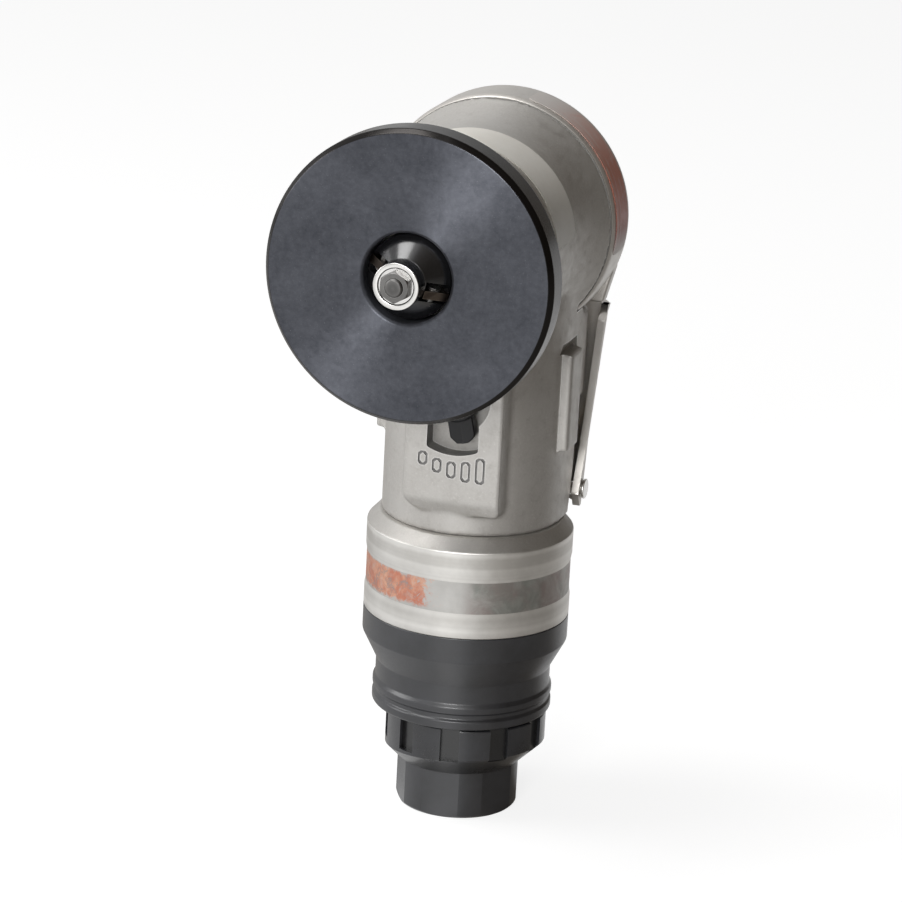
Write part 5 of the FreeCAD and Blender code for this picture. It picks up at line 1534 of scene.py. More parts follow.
@dataclass
class RearCover:
    """The turned cover with its chin, four socket screws, and the film on its rim."""

    rim_radius: float = 25.2 * MM
    front_radius: float = 24.6 * MM
    front: float = -4.6 * MM
    back: float = -16.8 * MM
    bevel: float = 1.2 * MM
    edge_round: float = 1.6 * MM
    inner_radius: float = 18.6 * MM
    wall: float = 2.0 * MM
    chin_front: float = 13.7 * MM
    chin_top: float = 114.6 * MM
    chin_bottom: float = 106.5 * MM
    chin_top_half: float = 23.5 * MM
    chin_bottom_half: float = 21.4 * MM
    chin_edge: float = 0.6 * MM
    screw_count: int = 4
    screw_first: float = 45.0
    screw_circle: float = 21.2 * MM
    screw_head_radius: float = 2.25 * MM
    screw_head_height: float = 2.3 * MM
    screw_head_round: float = 0.25 * MM
    sink_radius: float = 2.35 * MM
    sink_depth: float = 2.4 * MM
    socket_flats: float = 2.0 * MM
    socket_depth: float = 1.3 * MM
    film_front: float = -5.85 * MM
    film_back: float = -14.4 * MM
    film_low: float = -12.0
    film_high: float = 78.0

    def screw_places(self) -> list[Matrix]:
        """Give the frames of the screws, looking along the spindle.

        Returns:
            The frames.
        """
        places = []
        for i in range(self.screw_count):
            angle = math.radians(self.screw_first) + FULL_TURN * i / self.screw_count
            places.append(facing_at(self.screw_circle * math.cos(angle),
                                    HEAD_HEIGHT + self.screw_circle * math.sin(angle)))
        return places

    def cup(self) -> Piece:
        """Turn the cup of the cover.

        Returns:
            The cup.
        """
        outline = stairs(0, self.back + self.wall, self.inner_radius, self.front, self.front_radius)
        outline += [(self.rim_radius, self.front - self.bevel)] + stairs(self.rim_radius, self.back, 0)
        return turn("rear_cover_cup", soften(outline, self.edge_round, 6), SPINDLE, 256)

    def chin(self) -> Piece:
        """Make the chin that closes the back above the lever.

        Returns:
            The chin.
        """
        outline = [(-self.chin_top_half, self.chin_top), (-self.chin_bottom_half, self.chin_bottom),
                   (self.chin_bottom_half, self.chin_bottom), (self.chin_top_half, self.chin_top)]
        chin = prism("chin", outline, self.back, -self.chin_front, FACING)
        return ease(chin, self.chin_edge, 4)

    def build(self) -> Piece:
        """Join the cup and the chin, and sink the screw seats.

        Returns:
            The cover.
        """
        inside = rod("inside", self.inner_radius, self.back + self.wall, 0, SPINDLE, 128)
        chin = cut(self.chin(), inside)
        cover = combine(self.cup(), [chin], Combine.JOIN)
        sinks = [rod("sink", self.sink_radius, self.back - OVERRUN, self.back + self.sink_depth, place)
                 for place in self.screw_places()]
        return cut(cover, *sinks)

    def screws(self) -> Piece:
        """Make the socket heads that show in their seats.

        Returns:
            The heads, as one piece.
        """
        heads = []
        for place in self.screw_places():
            low, high = self.back + self.sink_depth - self.screw_head_height, self.back + self.sink_depth
            outline = soften(stairs(0, low, self.screw_head_radius, high, 0), self.screw_head_round)
            head = turn("screw", outline, place, 48)
            socket = prism("socket", hexagon(self.socket_flats), low - OVERRUN,
                           low + self.socket_depth, place)
            heads.append(cut(head, socket))
        return join("cover_screw_heads", heads)

    def dress(self, shop: PaintShop) -> None:
        """Finish the cover, its screws and its rim film.

        Args:
            shop: The paint shop, which keeps the materials.
        """
        shop.dress(self.build(), COVER, "motor_body", "smooth_aluminium", ["rear_cover"])
        shop.dress(self.screws(), SATIN_BLACK, "motor_body", "black_metal", ["cover_screws"])
        film = curved_film("rim_film", self.rim_radius, self.film_back, self.film_front,
                           self.film_low, self.film_high)
        shop.dress(film, RED_FILM, "motor_body", "label_red", ["rim_label"])


def curved_film(name: str, radius: float, low: float, high: float, first: float, last: float,
                thickness: float = 0.14 * MM, corner: float = 1.6 * MM, lift: float = 0.01 * MM,
                cuts: int = 96) -> Piece:
    """Make a thin film on a drum about the spindle, with rounded corners.

    Args:
        name: The piece's name.
        radius: The drum's radius.
        low: Its rearmost place ahead of the handle's axis.
        high: Its foremost place.
        first: The angle where it starts, in degrees from +X upwards.
        last: The angle where it ends.
        thickness: How thick the film is.
        corner: The radius of its corners.
        lift: The gap under it.
        cuts: How many straight pieces make its curve.

    Returns:
        The film.
    """
    start, end = math.radians(first) * radius, math.radians(last) * radius
    flat = arc((end - corner, high - corner), corner, 0, 90, 6)
    flat += arc((start + corner, high - corner), corner, 90, 180, 6)
    flat += arc((start + corner, low + corner), corner, 180, 270, 6)
    flat += arc((end - corner, low + corner), corner, 270, 360, 6)
    film = prism(name, flat, radius + lift, radius + thickness, SPINDLE)
    work = bmesh.new()
    work.from_mesh(film.data)
    for i in range(1, cuts):
        along = start + (end - start) * i / cuts
        geometry = list(work.verts) + list(work.edges) + list(work.faces)
        bmesh.ops.bisect_plane(work, geom=geometry, plane_co=(along, 0, 0), plane_no=(1, 0, 0))
    for vertex in work.verts:
        angle, ahead, out = vertex.co.x / radius, vertex.co.y, vertex.co.z
        vertex.co = (out * math.cos(angle), out * math.sin(angle), ahead)
    bmesh.ops.recalc_face_normals(work, faces=work.faces)
    work.to_mesh(film.data)
    work.free()
    return film


@dataclass
class NoseLabel:
    """The bare pale film round the top of the nose."""

    radius: float = 20.8 * MM
    front: float = 21.9 * MM
    back: float = 8.9 * MM
    first: float = 4.0
    last: float = 176.0

    def dress(self, shop: PaintShop) -> None:
        """Lay the film on the nose."""
        film = curved_film("nose_film", self.radius, self.back, self.front, self.first, self.last)
        shop.dress(film, CREAM_FILM, "motor_body", "label_cream", ["nose_label"])


@dataclass
class GuidePlate:
    """The dark guide plate: face, mouth, bevelled rim and sliding hub."""

    face_radius: float = 27.5 * MM
    rim_radius: float = 28.4 * MM
    face: float = 51.5 * MM
    edge_depth: float = 1.1 * MM
    back: float = 44.1 * MM
    back_edge: float = 0.9 * MM
    mouth_radius: float = 8.7 * MM
    mouth_edge: float = 0.5 * MM
    web_back: float = 45.6 * MM
    slide_radius: float = 15.1 * MM
    hub_radius: float = 17.1 * MM
    hub_end: float = 30.4 * MM
    keyway_half: float = 1.6 * MM
    keyway_top: float = 16.3 * MM
    corner: float = 0.22 * MM

    def build(self) -> Piece:
        """Turn the plate and cut its keyway.

        Returns:
            The plate.
        """
        outline = stairs(self.mouth_radius, self.web_back, self.slide_radius, self.hub_end,
                         self.hub_radius, self.back, self.rim_radius - self.back_edge)
        outline += [(self.rim_radius, self.back + self.back_edge),
                    (self.rim_radius, self.face - self.edge_depth), (self.face_radius, self.face),
                    (self.mouth_radius + self.mouth_edge, self.face),
                    (self.mouth_radius, self.face - self.mouth_edge)]
        plate = turn("guide_plate_disc", soften(outline, self.corner, 3), SPINDLE, 288)
        keyway = box("keyway", (-self.keyway_half, 0, self.hub_end - OVERRUN),
                     (self.keyway_half, self.keyway_top, self.web_back), SPINDLE)
        return cut(plate, keyway)

    def dress(self, shop: PaintShop) -> None:
        """Finish the plate as blued steel."""
        shop.dress(self.build(), PLATE, "plate_slide", "slate_steel", ["guide_plate"])


@dataclass
class AdjustingRing:
    """The knurled ring that drives the guide plate."""

    radius: float = 19.6 * MM
    front: float = 34.0 * MM
    back: float = 24.4 * MM
    edge: float = 0.6 * MM
    thread_radius: float = 17.2 * MM
    lip_radius: float = 15.1 * MM
    lip_front: float = 28.0 * MM
    knurl_count: int = 40
    knurl_radius: float = 0.5 * MM
    screw_angle: float = 200.0
    screw_room: float = 1.55 * MM
    screw_ahead: float = 26.2 * MM
    corner: float = 0.15 * MM

    def build(self) -> Piece:
        """Turn the ring, mill its knurls and drill it for the lock screw.

        Returns:
            The ring.
        """
        outline = [(self.thread_radius, self.front), (self.radius - self.edge, self.front),
                   (self.radius, self.front - self.edge), (self.radius, self.back + self.edge)]
        outline += stairs(self.radius - self.edge, self.back, self.lip_radius, self.lip_front,
                          self.thread_radius)
        ring = turn("adjusting_ring_knurled", soften(outline, self.corner, 2), SPINDLE, 160)
        knurls = []
        for spoke in spokes(self.knurl_count):
            place = SPINDLE @ spoke @ Matrix.Translation((self.radius, 0, 0))
            knurls.append(rod("knurl", self.knurl_radius, self.back - OVERRUN, self.front + OVERRUN,
                              place, 16))
        cut(ring, join("knurls", knurls))
        place = SPINDLE @ spun(self.screw_angle) @ Matrix.Translation((0, 0, self.screw_ahead)) @ SIDEWAYS
        hole = rod("screw_room", self.screw_room, self.lip_radius - OVERRUN, self.radius + OVERRUN, place)
        return cut(ring, hole)

    def dress(self, shop: PaintShop) -> None:
        """Finish the ring as blackened steel."""
        shop.dress(self.build(), KNURL_BLACK, "ring_set", "black_metal", ["adjusting_ring"])


@dataclass
class Cutter:
    """The black coned cutter with its gullets, and the pilot bearing on its tip."""

    seat_radius: float = 2.9 * MM
    tip: float = 54.0 * MM
    cone_front: float = 53.6 * MM
    nose_radius: float = 4.3 * MM
    barrel_radius: float = 8.2 * MM
    barrel_back: float = 45.5 * MM
    neck_radius: float = 6.4 * MM
    neck_back: float = 36.5 * MM
    flat_half: float = 5.5 * MM
    flat_length: float = 5.0 * MM
    bore_radius: float = 4.05 * MM
    bore_end: float = 46.4 * MM
    insert_count: int = 2
    insert_first: float = -16.0
    insert_length: float = 5.2 * MM
    insert_width: float = 3.2 * MM
    insert_thickness: float = 1.6 * MM
    insert_proud: float = 0.25 * MM
    gullet_width: float = 2.4 * MM
    gullet_overlap: float = 0.6 * MM
    gullet_past: float = 0.01 * MM
    corner: float = 0.18 * MM
    pilot_radius: float = 4.5 * MM
    pilot_inner: float = 3.5 * MM
    pilot_front: float = 58.0 * MM
    pilot_edge: float = 0.25 * MM
    nut_flats: float = 5.4 * MM
    nut_front: float = 59.1 * MM
    nut_back: float = 57.75 * MM
    nut_bore: float = 1.85 * MM
    stud_radius: float = 1.8 * MM
    stud_shank: float = 2.0 * MM
    stud_front: float = 59.6 * MM
    stud_back: float = 46.55 * MM
    stud_edge: float = 0.35 * MM
    stud_round: float = 0.1 * MM
    shoulder: float = 57.7 * MM

    def insert_frames(self) -> list[Matrix]:
        """Give each insert's frame: X out of the cone, Y along it, Z its thickness.

        Returns:
            The frames.
        """
        middle_radius = (self.nose_radius + self.barrel_radius) / 2
        middle_ahead = self.cone_front - (self.barrel_radius - self.nose_radius) / 2
        lean = math.sqrt(0.5)
        cone = Matrix(((lean, -lean, 0, middle_radius), (0, 0, 1, 0), (lean, lean, 0, middle_ahead),
                       (0, 0, 0, 1)))
        return [SPINDLE @ spoke @ cone for spoke in spokes(self.insert_count, self.insert_first)]

    def body(self) -> Piece:
        """Turn the cutter and mill its gullets, insert seats and flats.

        Returns:
            The cutter.
        """
        cone_back = self.cone_front - (self.barrel_radius - self.nose_radius)
        outline = stairs(0, self.neck_back, self.neck_radius, self.barrel_back, self.barrel_radius,
                         cone_back)
        outline += stairs(self.nose_radius, self.cone_front, self.seat_radius, self.tip, 0)
        body = turn("cutter_cone", soften(outline, self.corner, 3), SPINDLE)
        proud, width, half = self.insert_proud, self.insert_width, self.insert_length / 2
        tools = []
        for place in self.insert_frames():
            reach = half + self.gullet_overlap
            tools.append(box("gullet", (proud - width, -reach, -self.gullet_width),
                             (2 * self.barrel_radius, reach, self.gullet_past), place))
            tools.append(box("seat", (proud - width, -half, 0),
                             (2 * proud, half, self.insert_thickness), place))
        for side in Side:
            low, high = side.span(self.flat_half, 2 * self.barrel_radius)
            tools.append(box("flat", (low, -2 * self.barrel_radius, self.neck_back - OVERRUN),
                             (high, 2 * self.barrel_radius, self.neck_back + self.flat_length), SPINDLE))
        tools.append(rod("bore", self.bore_radius, self.neck_back - OVERRUN, self.bore_end, SPINDLE))
        return cut(body, *tools)

    def pilot(self) -> Piece:
        """Turn the pilot bearing's outer ring.

        Returns:
            The ring.
        """
        outline = stairs(self.pilot_inner, self.tip, self.pilot_radius, self.pilot_front, self.pilot_inner)
        return turn("pilot_roller_ring", soften(outline, self.pilot_edge, 4), SPINDLE, 128)

    def nut(self) -> Piece:
        """Make the small hexagon nut with its turned corners.

        Returns:
            The nut.
        """
        nut = prism("pilot_nut_hexagon", hexagon(self.nut_flats, math.pi / HEX_SIDES),
                    self.nut_back, self.nut_front, SPINDLE)
        half, tall = self.nut_flats / 2, self.nut_front - self.nut_back
        round_off = turn("round_off", [(0, self.nut_back), (half + tall, self.nut_back),
                                       (half, self.nut_front), (0, self.nut_front)], SPINDLE, 96)
        combine(nut, [round_off], Combine.KEEP_SHARED)
        bore = rod("nut_bore", self.nut_bore, self.nut_back - OVERRUN, self.nut_front + OVERRUN, SPINDLE)
        return cut(nut, bore)

    def stud(self) -> Piece:
        """Turn the stud whose tip stands out of the nut.

        Returns:
            The stud.
        """
        outline = stairs(0, self.stud_back, self.stud_shank, self.shoulder, self.stud_radius,
                         self.stud_front - self.stud_edge)
        outline += [(self.stud_radius - self.stud_edge, self.stud_front), (0, self.stud_front)]
        return turn("pilot_stud_turned", soften(outline, self.stud_round, 3), SPINDLE, 96)

    def dress(self, shop: PaintShop) -> None:
        """Finish the cutter and its pilot bearing.

        Args:
            shop: The paint shop, which keeps the materials.
        """
        shop.dress(self.body(), GLOSS_BLACK, "spindle_set", "gloss_black_steel", ["cutter_body"])
        shop.dress(self.pilot(), BRIGHT_STEEL, "pilot_roller", "bright_steel", ["pilot_ring"])
        shop.dress(self.nut(), DARK_STEEL, "spindle_set", "dark_steel", ["pilot_nut"])
        shop.dress(self.stud(), DARK_STEEL, "spindle_set", "dark_steel", ["pilot_stud"])


@dataclass
class Regulator:
    """The speed regulator: ringed hub with its pointing arm, and the slotted screw."""

    centre: float = 1.0 * MM
    height: float = 92.4 * MM
    radius: float = 5.2 * MM
    front: float = 19.8 * MM
    back: float = 16.6 * MM
    edge: float = 0.5 * MM
    ring_count: int = 4
    ring_depth: float = 0.14 * MM
    arm_half: float = 2.6 * MM
    arm_reach: float = 9.6 * MM
    arm_thickness: float = 2.7 * MM
    arm_corner: float = 1.3 * MM
    arm_angle: float = 12.5
    arm_ridge: float = 0.7 * MM
    arm_ridge_across: float = 0.1 * MM
    screw_radius: float = 3.0 * MM
    screw_head: float = 1.2 * MM
    screw_shank: float = 1.5 * MM
    screw_length: float = 6.0 * MM
    slot_width: float = 0.8 * MM
    screw_round: float = 0.2 * MM
    sink_gap: float = 0.1 * MM
    shank_gap: float = 0.05 * MM
    arm_round: float = 0.5 * MM
    arm_edge: float = 0.2 * MM

    def place(self) -> Matrix:
        """Give the hub's frame, looking out of the pad."""
        return facing_at(self.centre, self.height)

    def arm(self) -> Piece:
        """Make the pointing arm, with rounded corners and two facets that meet on a ridge.

        Returns:
            The arm.
        """
        half, tip, corner = self.arm_half, -self.arm_reach, self.arm_corner
        outline = soften([(-half, tip + corner), (-half + corner, tip), (half - corner, tip),
                          (half, tip + corner), (half, 0), (-half, 0)], self.arm_round)
        place = self.place() @ spun(self.arm_angle)
        top = self.back + self.arm_thickness
        arm = prism("arm", outline, self.back, top, place)
        facets = []
        for side in Side:
            far = side.value * (half + OVERRUN)
            ridge = self.arm_ridge_across
            drop = self.arm_ridge * abs(far - ridge) / half
            facets.append(prism("facet", [(ridge, top), (far, top + OVERRUN), (far, top - drop)],
                                -OVERRUN, self.arm_reach + OVERRUN, place @ FACING))
        cut(arm, *facets)
        return ease(arm, self.arm_edge, 3)

    def lever(self) -> Piece:
        """Turn the hub with fine rings on its edge, and join the arm.

        Returns:
            The lever.
        """
        outline = [(0, self.back), (self.radius, self.back)]
        pitch = (self.front - self.back - 2 * self.edge) / self.ring_count
        for i in range(self.ring_count):
            low = self.back + self.edge + i * pitch
            outline += [(self.radius, low), (self.radius - self.ring_depth, low + self.ring_depth),
                        (self.radius, low + 2 * self.ring_depth)]
        outline += [(self.radius, self.front - self.edge), (self.radius - self.edge, self.front),
                    (0, self.front)]
        hub = turn("regulator_hub", outline, self.place(), 128)
        combine(hub, [self.arm()], Combine.JOIN)
        sink = rod("sink", self.screw_radius + self.sink_gap, self.front - self.screw_head,
                   self.front + OVERRUN, self.place())
        room = rod("screw_room", self.screw_shank + self.shank_gap, self.back - OVERRUN,
                   self.front + OVERRUN, self.place())
        return cut(hub, sink, room)

    def screw(self) -> Piece:
        """Turn the screw and cut its slot.

        Returns:
            The screw.
        """
        low, under = self.front - self.screw_length, self.front - self.screw_head
        outline = stairs(0, low, self.screw_shank, under, self.screw_radius, self.front, 0)
        screw = turn("regulator_screw_slotted", soften(outline, self.screw_round, 3), self.place(), 96)
        half = self.slot_width / 2
        slot = box("slot", (-self.radius, -half, self.front - self.screw_head / 2),
                   (self.radius, half, self.front + OVERRUN), self.place())
        return cut(screw, slot)

    def dress(self, shop: PaintShop) -> None:
        """Finish the regulator's lever and screw."""
        shop.dress(self.lever(), LEVER_BLACK, "regulator", "black_metal", ["regulator_lever"])
        shop.dress(self.screw(), DARK_STEEL, "regulator", "dark_steel", ["regulator_screw"])


@dataclass
class ThrottleLever:
    """The bent channel behind the handle, and the pin that it turns on."""

    wall: float = 1.5 * MM
    corner: float = 6.0 * MM
    bottom: float = 63.7 * MM
    knee: float = 77.6 * MM
    top: float = 104.9 * MM
    bottom_half: float = 19.9 * MM
    top_half: float = 21.3 * MM
    back_heights: tuple[float, float, float] = (17.6 * MM, 18.5 * MM, 25.0 * MM)
    front_heights: tuple[float, float, float] = (8.2 * MM, 12.6 * MM, 18.0 * MM)
    toe: float = 3.0 * MM
    levels: int = 72
    pivot_back: float = 12.2 * MM
    pivot_height: float = 67.2 * MM
    pin_half: float = 20.29 * MM
    pin_head: float = 0.5 * MM
    pin_radius: float = 1.5 * MM
    pin_head_radius: float = 2.1 * MM
    pin_round: float = 0.3 * MM
    edge: float = 0.35 * MM
    edge_sharpest: float = 40.0

    def along(self, heights: tuple[float, float, float], z: float) -> float:
        """Give a flank's place at one height, bent at the knee."""
        return float(np.interp(z, (self.bottom, self.knee, self.top), heights))

    def front(self, z: float) -> float:
        """Give the flange's front edge at one height, with both toes cut."""
        toe_cut = max(self.toe - (z - self.bottom), self.toe - (self.top - z), 0.0)
        return self.along(self.front_heights, z) + toe_cut

    def section(self, z: float, inset: float) -> Outline:
        """Give the open U of the channel at one height, set in by the wall.

        Args:
            z: The height.
            inset: How far the outline is set in.

        Returns:
            The outline.
        """
        half = float(np.interp(z, (self.bottom, self.top), (self.bottom_half, self.top_half))) - inset
        back, corner = self.along(self.back_heights, z) - inset, self.corner - inset
        front = self.front(z)
        path = [(half, front), (half, (front + back - corner) / 2)]
        path += arc((half - corner, back - corner), corner, 0, 90, 10)
        path += arc((corner - half, back - corner), corner, 90, 180, 10)
        return path + [(-half, (front + back - corner) / 2), (-half, front)]

    def build(self) -> Piece:
        """Lay the channel's levels one above another and close its edges.

        Returns:
            The lever.
        """
        heights = sorted({self.knee, self.bottom + self.toe, self.top - self.toe}
                         | {self.bottom + (self.top - self.bottom) * i / self.levels
                            for i in range(self.levels + 1)})
        rings = []
        for z in heights:
            loop = self.section(z, 0.0) + self.section(z, self.wall)[::-1]
            rings.append([(x, y, z) for x, y in loop])
        count = len(rings[0])
        faces: list[Sequence[int]] = []
        for level in range(len(rings) - 1):
            for i in range(count):
                j = (i + 1) % count
                faces.append((level * count + i, level * count + j, (level + 1) * count + j,
                              (level + 1) * count + i))
        half = count // 2
        for level in (0, len(rings) - 1):
            for i in range(half - 1):
                faces.append((level * count + i, level * count + i + 1,
                              level * count + count - 2 - i, level * count + count - 1 - i))
        lever = add_object("throttle_channel", np.array(rings).reshape(-1, 3), faces, UPRIGHT)
        return ease(lever, self.edge, 3, self.edge_sharpest)

    def pin(self) -> Piece:
        """Turn the pin with a low domed head at each end.

        Returns:
            The pin.
        """
        over = self.pin_half + self.pin_head
        outline = stairs(0, -over, self.pin_head_radius, -self.pin_half, self.pin_radius,
                         self.pin_half, self.pin_head_radius, over, 0)
        place = Matrix.Translation((0, self.pivot_back, self.pivot_height)) @ SIDEWAYS
        return turn("lever_pin_turned", soften(outline, self.pin_round), place, 64)

    def dress(self, shop: PaintShop) -> None:
        """Finish the lever and its pin."""
        shop.dress(self.build(), COVER, "throttle", "smooth_aluminium", ["throttle_lever"])
        shop.dress(self.pin(), BRIGHT_STEEL, "motor_body", "bright_steel", ["lever_pin"])


@dataclass
class Collar:
    """The turned collar between the handle and the exhaust housing."""

    radius: float = 21.2 * MM
    low: float = 42.6 * MM
    top_edge: float = 60.8 * MM
    high: float = 63.3 * MM
    shoulder_radius: float = 18.9 * MM
    band_low: float = 47.3 * MM
    band_high: float = 55.1 * MM
    band_shown: float = 0.22 * MM
    band_slope: float = 1.2 * MM
    thread_radius: float = 15.05 * MM
    socket_radius: float = 18.15 * MM
    socket_top: float = 47.7 * MM
    corner: float = 0.3 * MM

    def build(self) -> Piece:
        """Turn the collar.

        Returns:
            The collar.
        """
        band, slope = self.radius - self.band_shown, self.band_slope
        outline = [(self.socket_radius, self.low), (self.radius, self.low),
                   (self.radius, self.band_low - slope / 2), (band, self.band_low + slope / 2),
                   (band, self.band_high - slope / 2), (self.radius, self.band_high + slope / 2),
                   (self.radius, self.top_edge)]
        outline += stairs(self.shoulder_radius, self.high, self.thread_radius, self.socket_top,
                          self.socket_radius)
        return turn("handle_collar_turned", soften(outline, self.corner), UPRIGHT, 256)

    def dress(self, shop: PaintShop) -> None:
        """Finish the collar, with other finishes on its band and its shoulder.

        Args:
            shop: The paint shop, which keeps the materials.
        """
        collar = shop.dress(self.build(), COLLAR, "motor_body", "turned_aluminium", ["handle_collar"])
        collar.data.materials.append(shop.material(BAND))
        collar.data.materials.append(shop.material(SHOULDER))
        limit = self.radius - self.band_shown / 2
        for face in collar.data.polygons:
            reach = math.hypot(face.center.x, face.center.y)
            if self.band_low < face.center.z < self.band_high and self.socket_radius < reach < limit:
                face.material_index = 1
            elif face.center.z > self.top_edge:
                face.material_index = 2


@dataclass
class ExhaustHousing:
    """The black housing under the collar, with its taper and two ridges."""

    seat_radius: float = 21.2 * MM
    top: float = 42.6 * MM
    bottom: float = 21.8 * MM
    taper_top: float = 37.3 * MM
    taper_bottom: float = 31.2 * MM
    barrel_radius: float = 18.1 * MM
    ridge_radius: float = 18.6 * MM
    low_ridge_top: float = 24.1 * MM
    high_ridge_bottom: float = 25.0 * MM
    high_ridge_top: float = 27.0 * MM
    ridge_edge: float = 0.4 * MM
    inner_radius: float = 15.1 * MM
    floor: float = 24.8 * MM
    stem_radius: float = 8.55 * MM
    spigot_radius: float = 18.1 * MM
    spigot_top: float = 47.6 * MM
    hole_count: int = 8
    hole_radius: float = 1.5 * MM
    hole_circle: float = 13.2 * MM
    corner: float = 0.25 * MM

    def build(self) -> Piece:
        """Turn the housing and drill its floor.

        Returns:
            The housing.
        """
        edge = self.ridge_edge
        outline = [(self.stem_radius, self.bottom), (self.ridge_radius - edge, self.bottom),
                   (self.ridge_radius, self.bottom + edge), (self.ridge_radius, self.low_ridge_top - edge),
                   (self.barrel_radius, self.low_ridge_top), (self.barrel_radius, self.high_ridge_bottom),
                   (self.ridge_radius, self.high_ridge_bottom + edge),
                   (self.ridge_radius, self.high_ridge_top - edge),
                   (self.barrel_radius, self.high_ridge_top + edge), (self.barrel_radius, self.taper_bottom),
                   (self.seat_radius, self.taper_top)]
        outline += stairs(self.seat_radius, self.top, self.spigot_radius, self.spigot_top,
                          self.inner_radius, self.floor, self.stem_radius)
        housing = turn("exhaust_housing_turned", soften(outline, self.corner), UPRIGHT, 256)
        holes = []
        for spoke in spokes(self.hole_count):
            place = spoke @ Matrix.Translation((self.hole_circle, 0, 0))
            holes.append(rod("hole", self.hole_radius, self.bottom - OVERRUN, self.floor + OVERRUN,
                             place, 32))
        return cut(housing, join("holes", holes))

    def dress(self, shop: PaintShop) -> None:
        """Finish the housing in satin black."""
        shop.dress(self.build(), SATIN_BLACK, "motor_body", "black_metal", ["exhaust_housing"])


@dataclass
class Deflector:
    """The off-centre exhaust deflector with its channels, windows and coned foot."""

    radius: float = 16.6 * MM
    offset: float = 1.6 * MM
    angle: float = -25.0
    bottom: float = 10.2 * MM
    top: float = 21.45 * MM
    foot_radius: float = 13.0 * MM
    skirt_radius: float = 12.75 * MM
    skirt_top: float = 11.6 * MM
    bore_radius: float = 11.1 * MM
    shelf: float = 14.4 * MM
    sleeve_radius: float = 12.1 * MM
    chamber_radius: float = 13.8 * MM
    slot_count: int = 6
    slot_first: float = 203.7
    slot_pitch: float = 36.0
    slot_half: float = 2.0 * MM
    slot_depth: float = 1.1 * MM
    window_count: int = 4
    window_first: float = 59.7
    window_bottom: float = 15.4 * MM
    window_top: float = 20.4 * MM
    corner: float = 0.4 * MM
    edge: float = 0.22 * MM

    def centre(self) -> Matrix:
        """Give the drum's own frame, set off the handle's axis."""
        angle = math.radians(self.angle)
        return Matrix.Translation((self.offset * math.cos(angle), self.offset * math.sin(angle), 0))

    def turned(self, first: float, step: int) -> Matrix:
        """Give the frame of one channel or window, its X outwards."""
        return self.centre() @ spun(first + step * self.slot_pitch)

    def build(self) -> Piece:
        """Turn the drum, cone its foot, bore it and cut its channels and windows.

        Returns:
            The deflector.
        """
        block = soften(stairs(0, self.bottom, self.radius, self.top, 0), self.corner)
        drum = turn("exhaust_deflector_drum", block, self.centre())
        rise = self.top - self.bottom
        cone = turn("cone", [(0, self.bottom), (self.foot_radius, self.bottom),
                             (self.foot_radius + rise, self.top), (0, self.top)])
        combine(drum, [cone], Combine.KEEP_SHARED)
        far, over, half = self.radius + OVERRUN, self.top + OVERRUN, self.slot_half
        bore = turn("bore", stairs(0, self.bottom - OVERRUN, self.skirt_radius, self.skirt_top,
                                   self.bore_radius, over, 0), UPRIGHT, 96)
        chamber = turn("chamber", stairs(self.sleeve_radius, self.shelf, self.chamber_radius, over,
                                         self.sleeve_radius), UPRIGHT, 96)
        slots = [box("slot", (self.radius - self.slot_depth, -half, self.shelf), (far, half, over),
                     self.turned(self.slot_first, i)) for i in range(self.slot_count)]
        windows = [box("window", (self.chamber_radius - OVERRUN, -half, self.window_bottom),
                       (far, half, self.window_top), self.turned(self.window_first, i))
                   for i in range(self.window_count)]
        cut(drum, bore, chamber)
        cut(drum, join("slots", slots), join("windows", windows))
        return ease(drum, self.edge)

    def dress(self, shop: PaintShop) -> None:
        """Finish the deflector in satin black."""
        shop.dress(self.build(), CHANNEL_BLACK, "deflector", "black_metal", ["exhaust_deflector"])


@dataclass
class Inlet:
    """The hexagon inlet bushing with its journal and threaded mouth."""

    radius: float = 12.65 * MM
    flats: float = 24.0 * MM
    edge: float = 0.6 * MM
    hexagon_top: float = 11.5 * MM
    journal_radius: float = 11.0 * MM
    journal_top: float = 21.65 * MM
    groove_low: float = 11.7 * MM
    groove_high: float = 13.2 * MM
    groove_radius: float = 10.25 * MM
    stem_radius: float = 8.5 * MM
    stem_top: float = 58.0 * MM
    thread_radius: float = 5.725 * MM
    thread_length: float = 11.0 * MM
    thread_turns: int = 8
    thread_depth: float = 0.45 * MM
    strainer_radius: float = 5.2 * MM
    strainer_top: float = 11.8 * MM
    air_radius: float = 4.0 * MM
    corner: float = 0.2 * MM

    def build(self) -> Piece:
        """Turn the bushing with its thread grooves and mill its flats.

        Returns:
            The bushing.
        """
        thread: Outline = []
        pitch = self.thread_length / self.thread_turns
        for i in range(self.thread_turns):
            high = self.thread_length - i * pitch
            thread += [(self.thread_radius, high),
                       (self.thread_radius + self.thread_depth, high - pitch / 2)]
        outline = [(self.thread_radius, 0), (self.radius - self.edge, 0), (self.radius, self.edge)]
        outline += stairs(self.radius, self.hexagon_top, self.journal_radius, self.groove_low,
                          self.groove_radius, self.groove_high, self.journal_radius,
                          self.journal_top, self.stem_radius, self.stem_top, self.air_radius,
                          self.strainer_top, self.strainer_radius, self.thread_length)
        bushing = turn("inlet_hexagon", soften(outline, self.corner, 3) + thread)
        tools = []
        for place in spokes(HEX_SIDES, 180 / HEX_SIDES):
            tools.append(box("flat", (self.flats / 2, -self.radius, -OVERRUN),
                             (self.radius + OVERRUN, self.radius, self.hexagon_top), place))
        return cut(bushing, join("flats", tools))

    def dress(self, shop: PaintShop) -> None:
        """Finish the bushing in satin black."""
        shop.dress(self.build(), SATIN_BLACK, "motor_body", "black_metal", ["inlet_bushing"])


# The studio

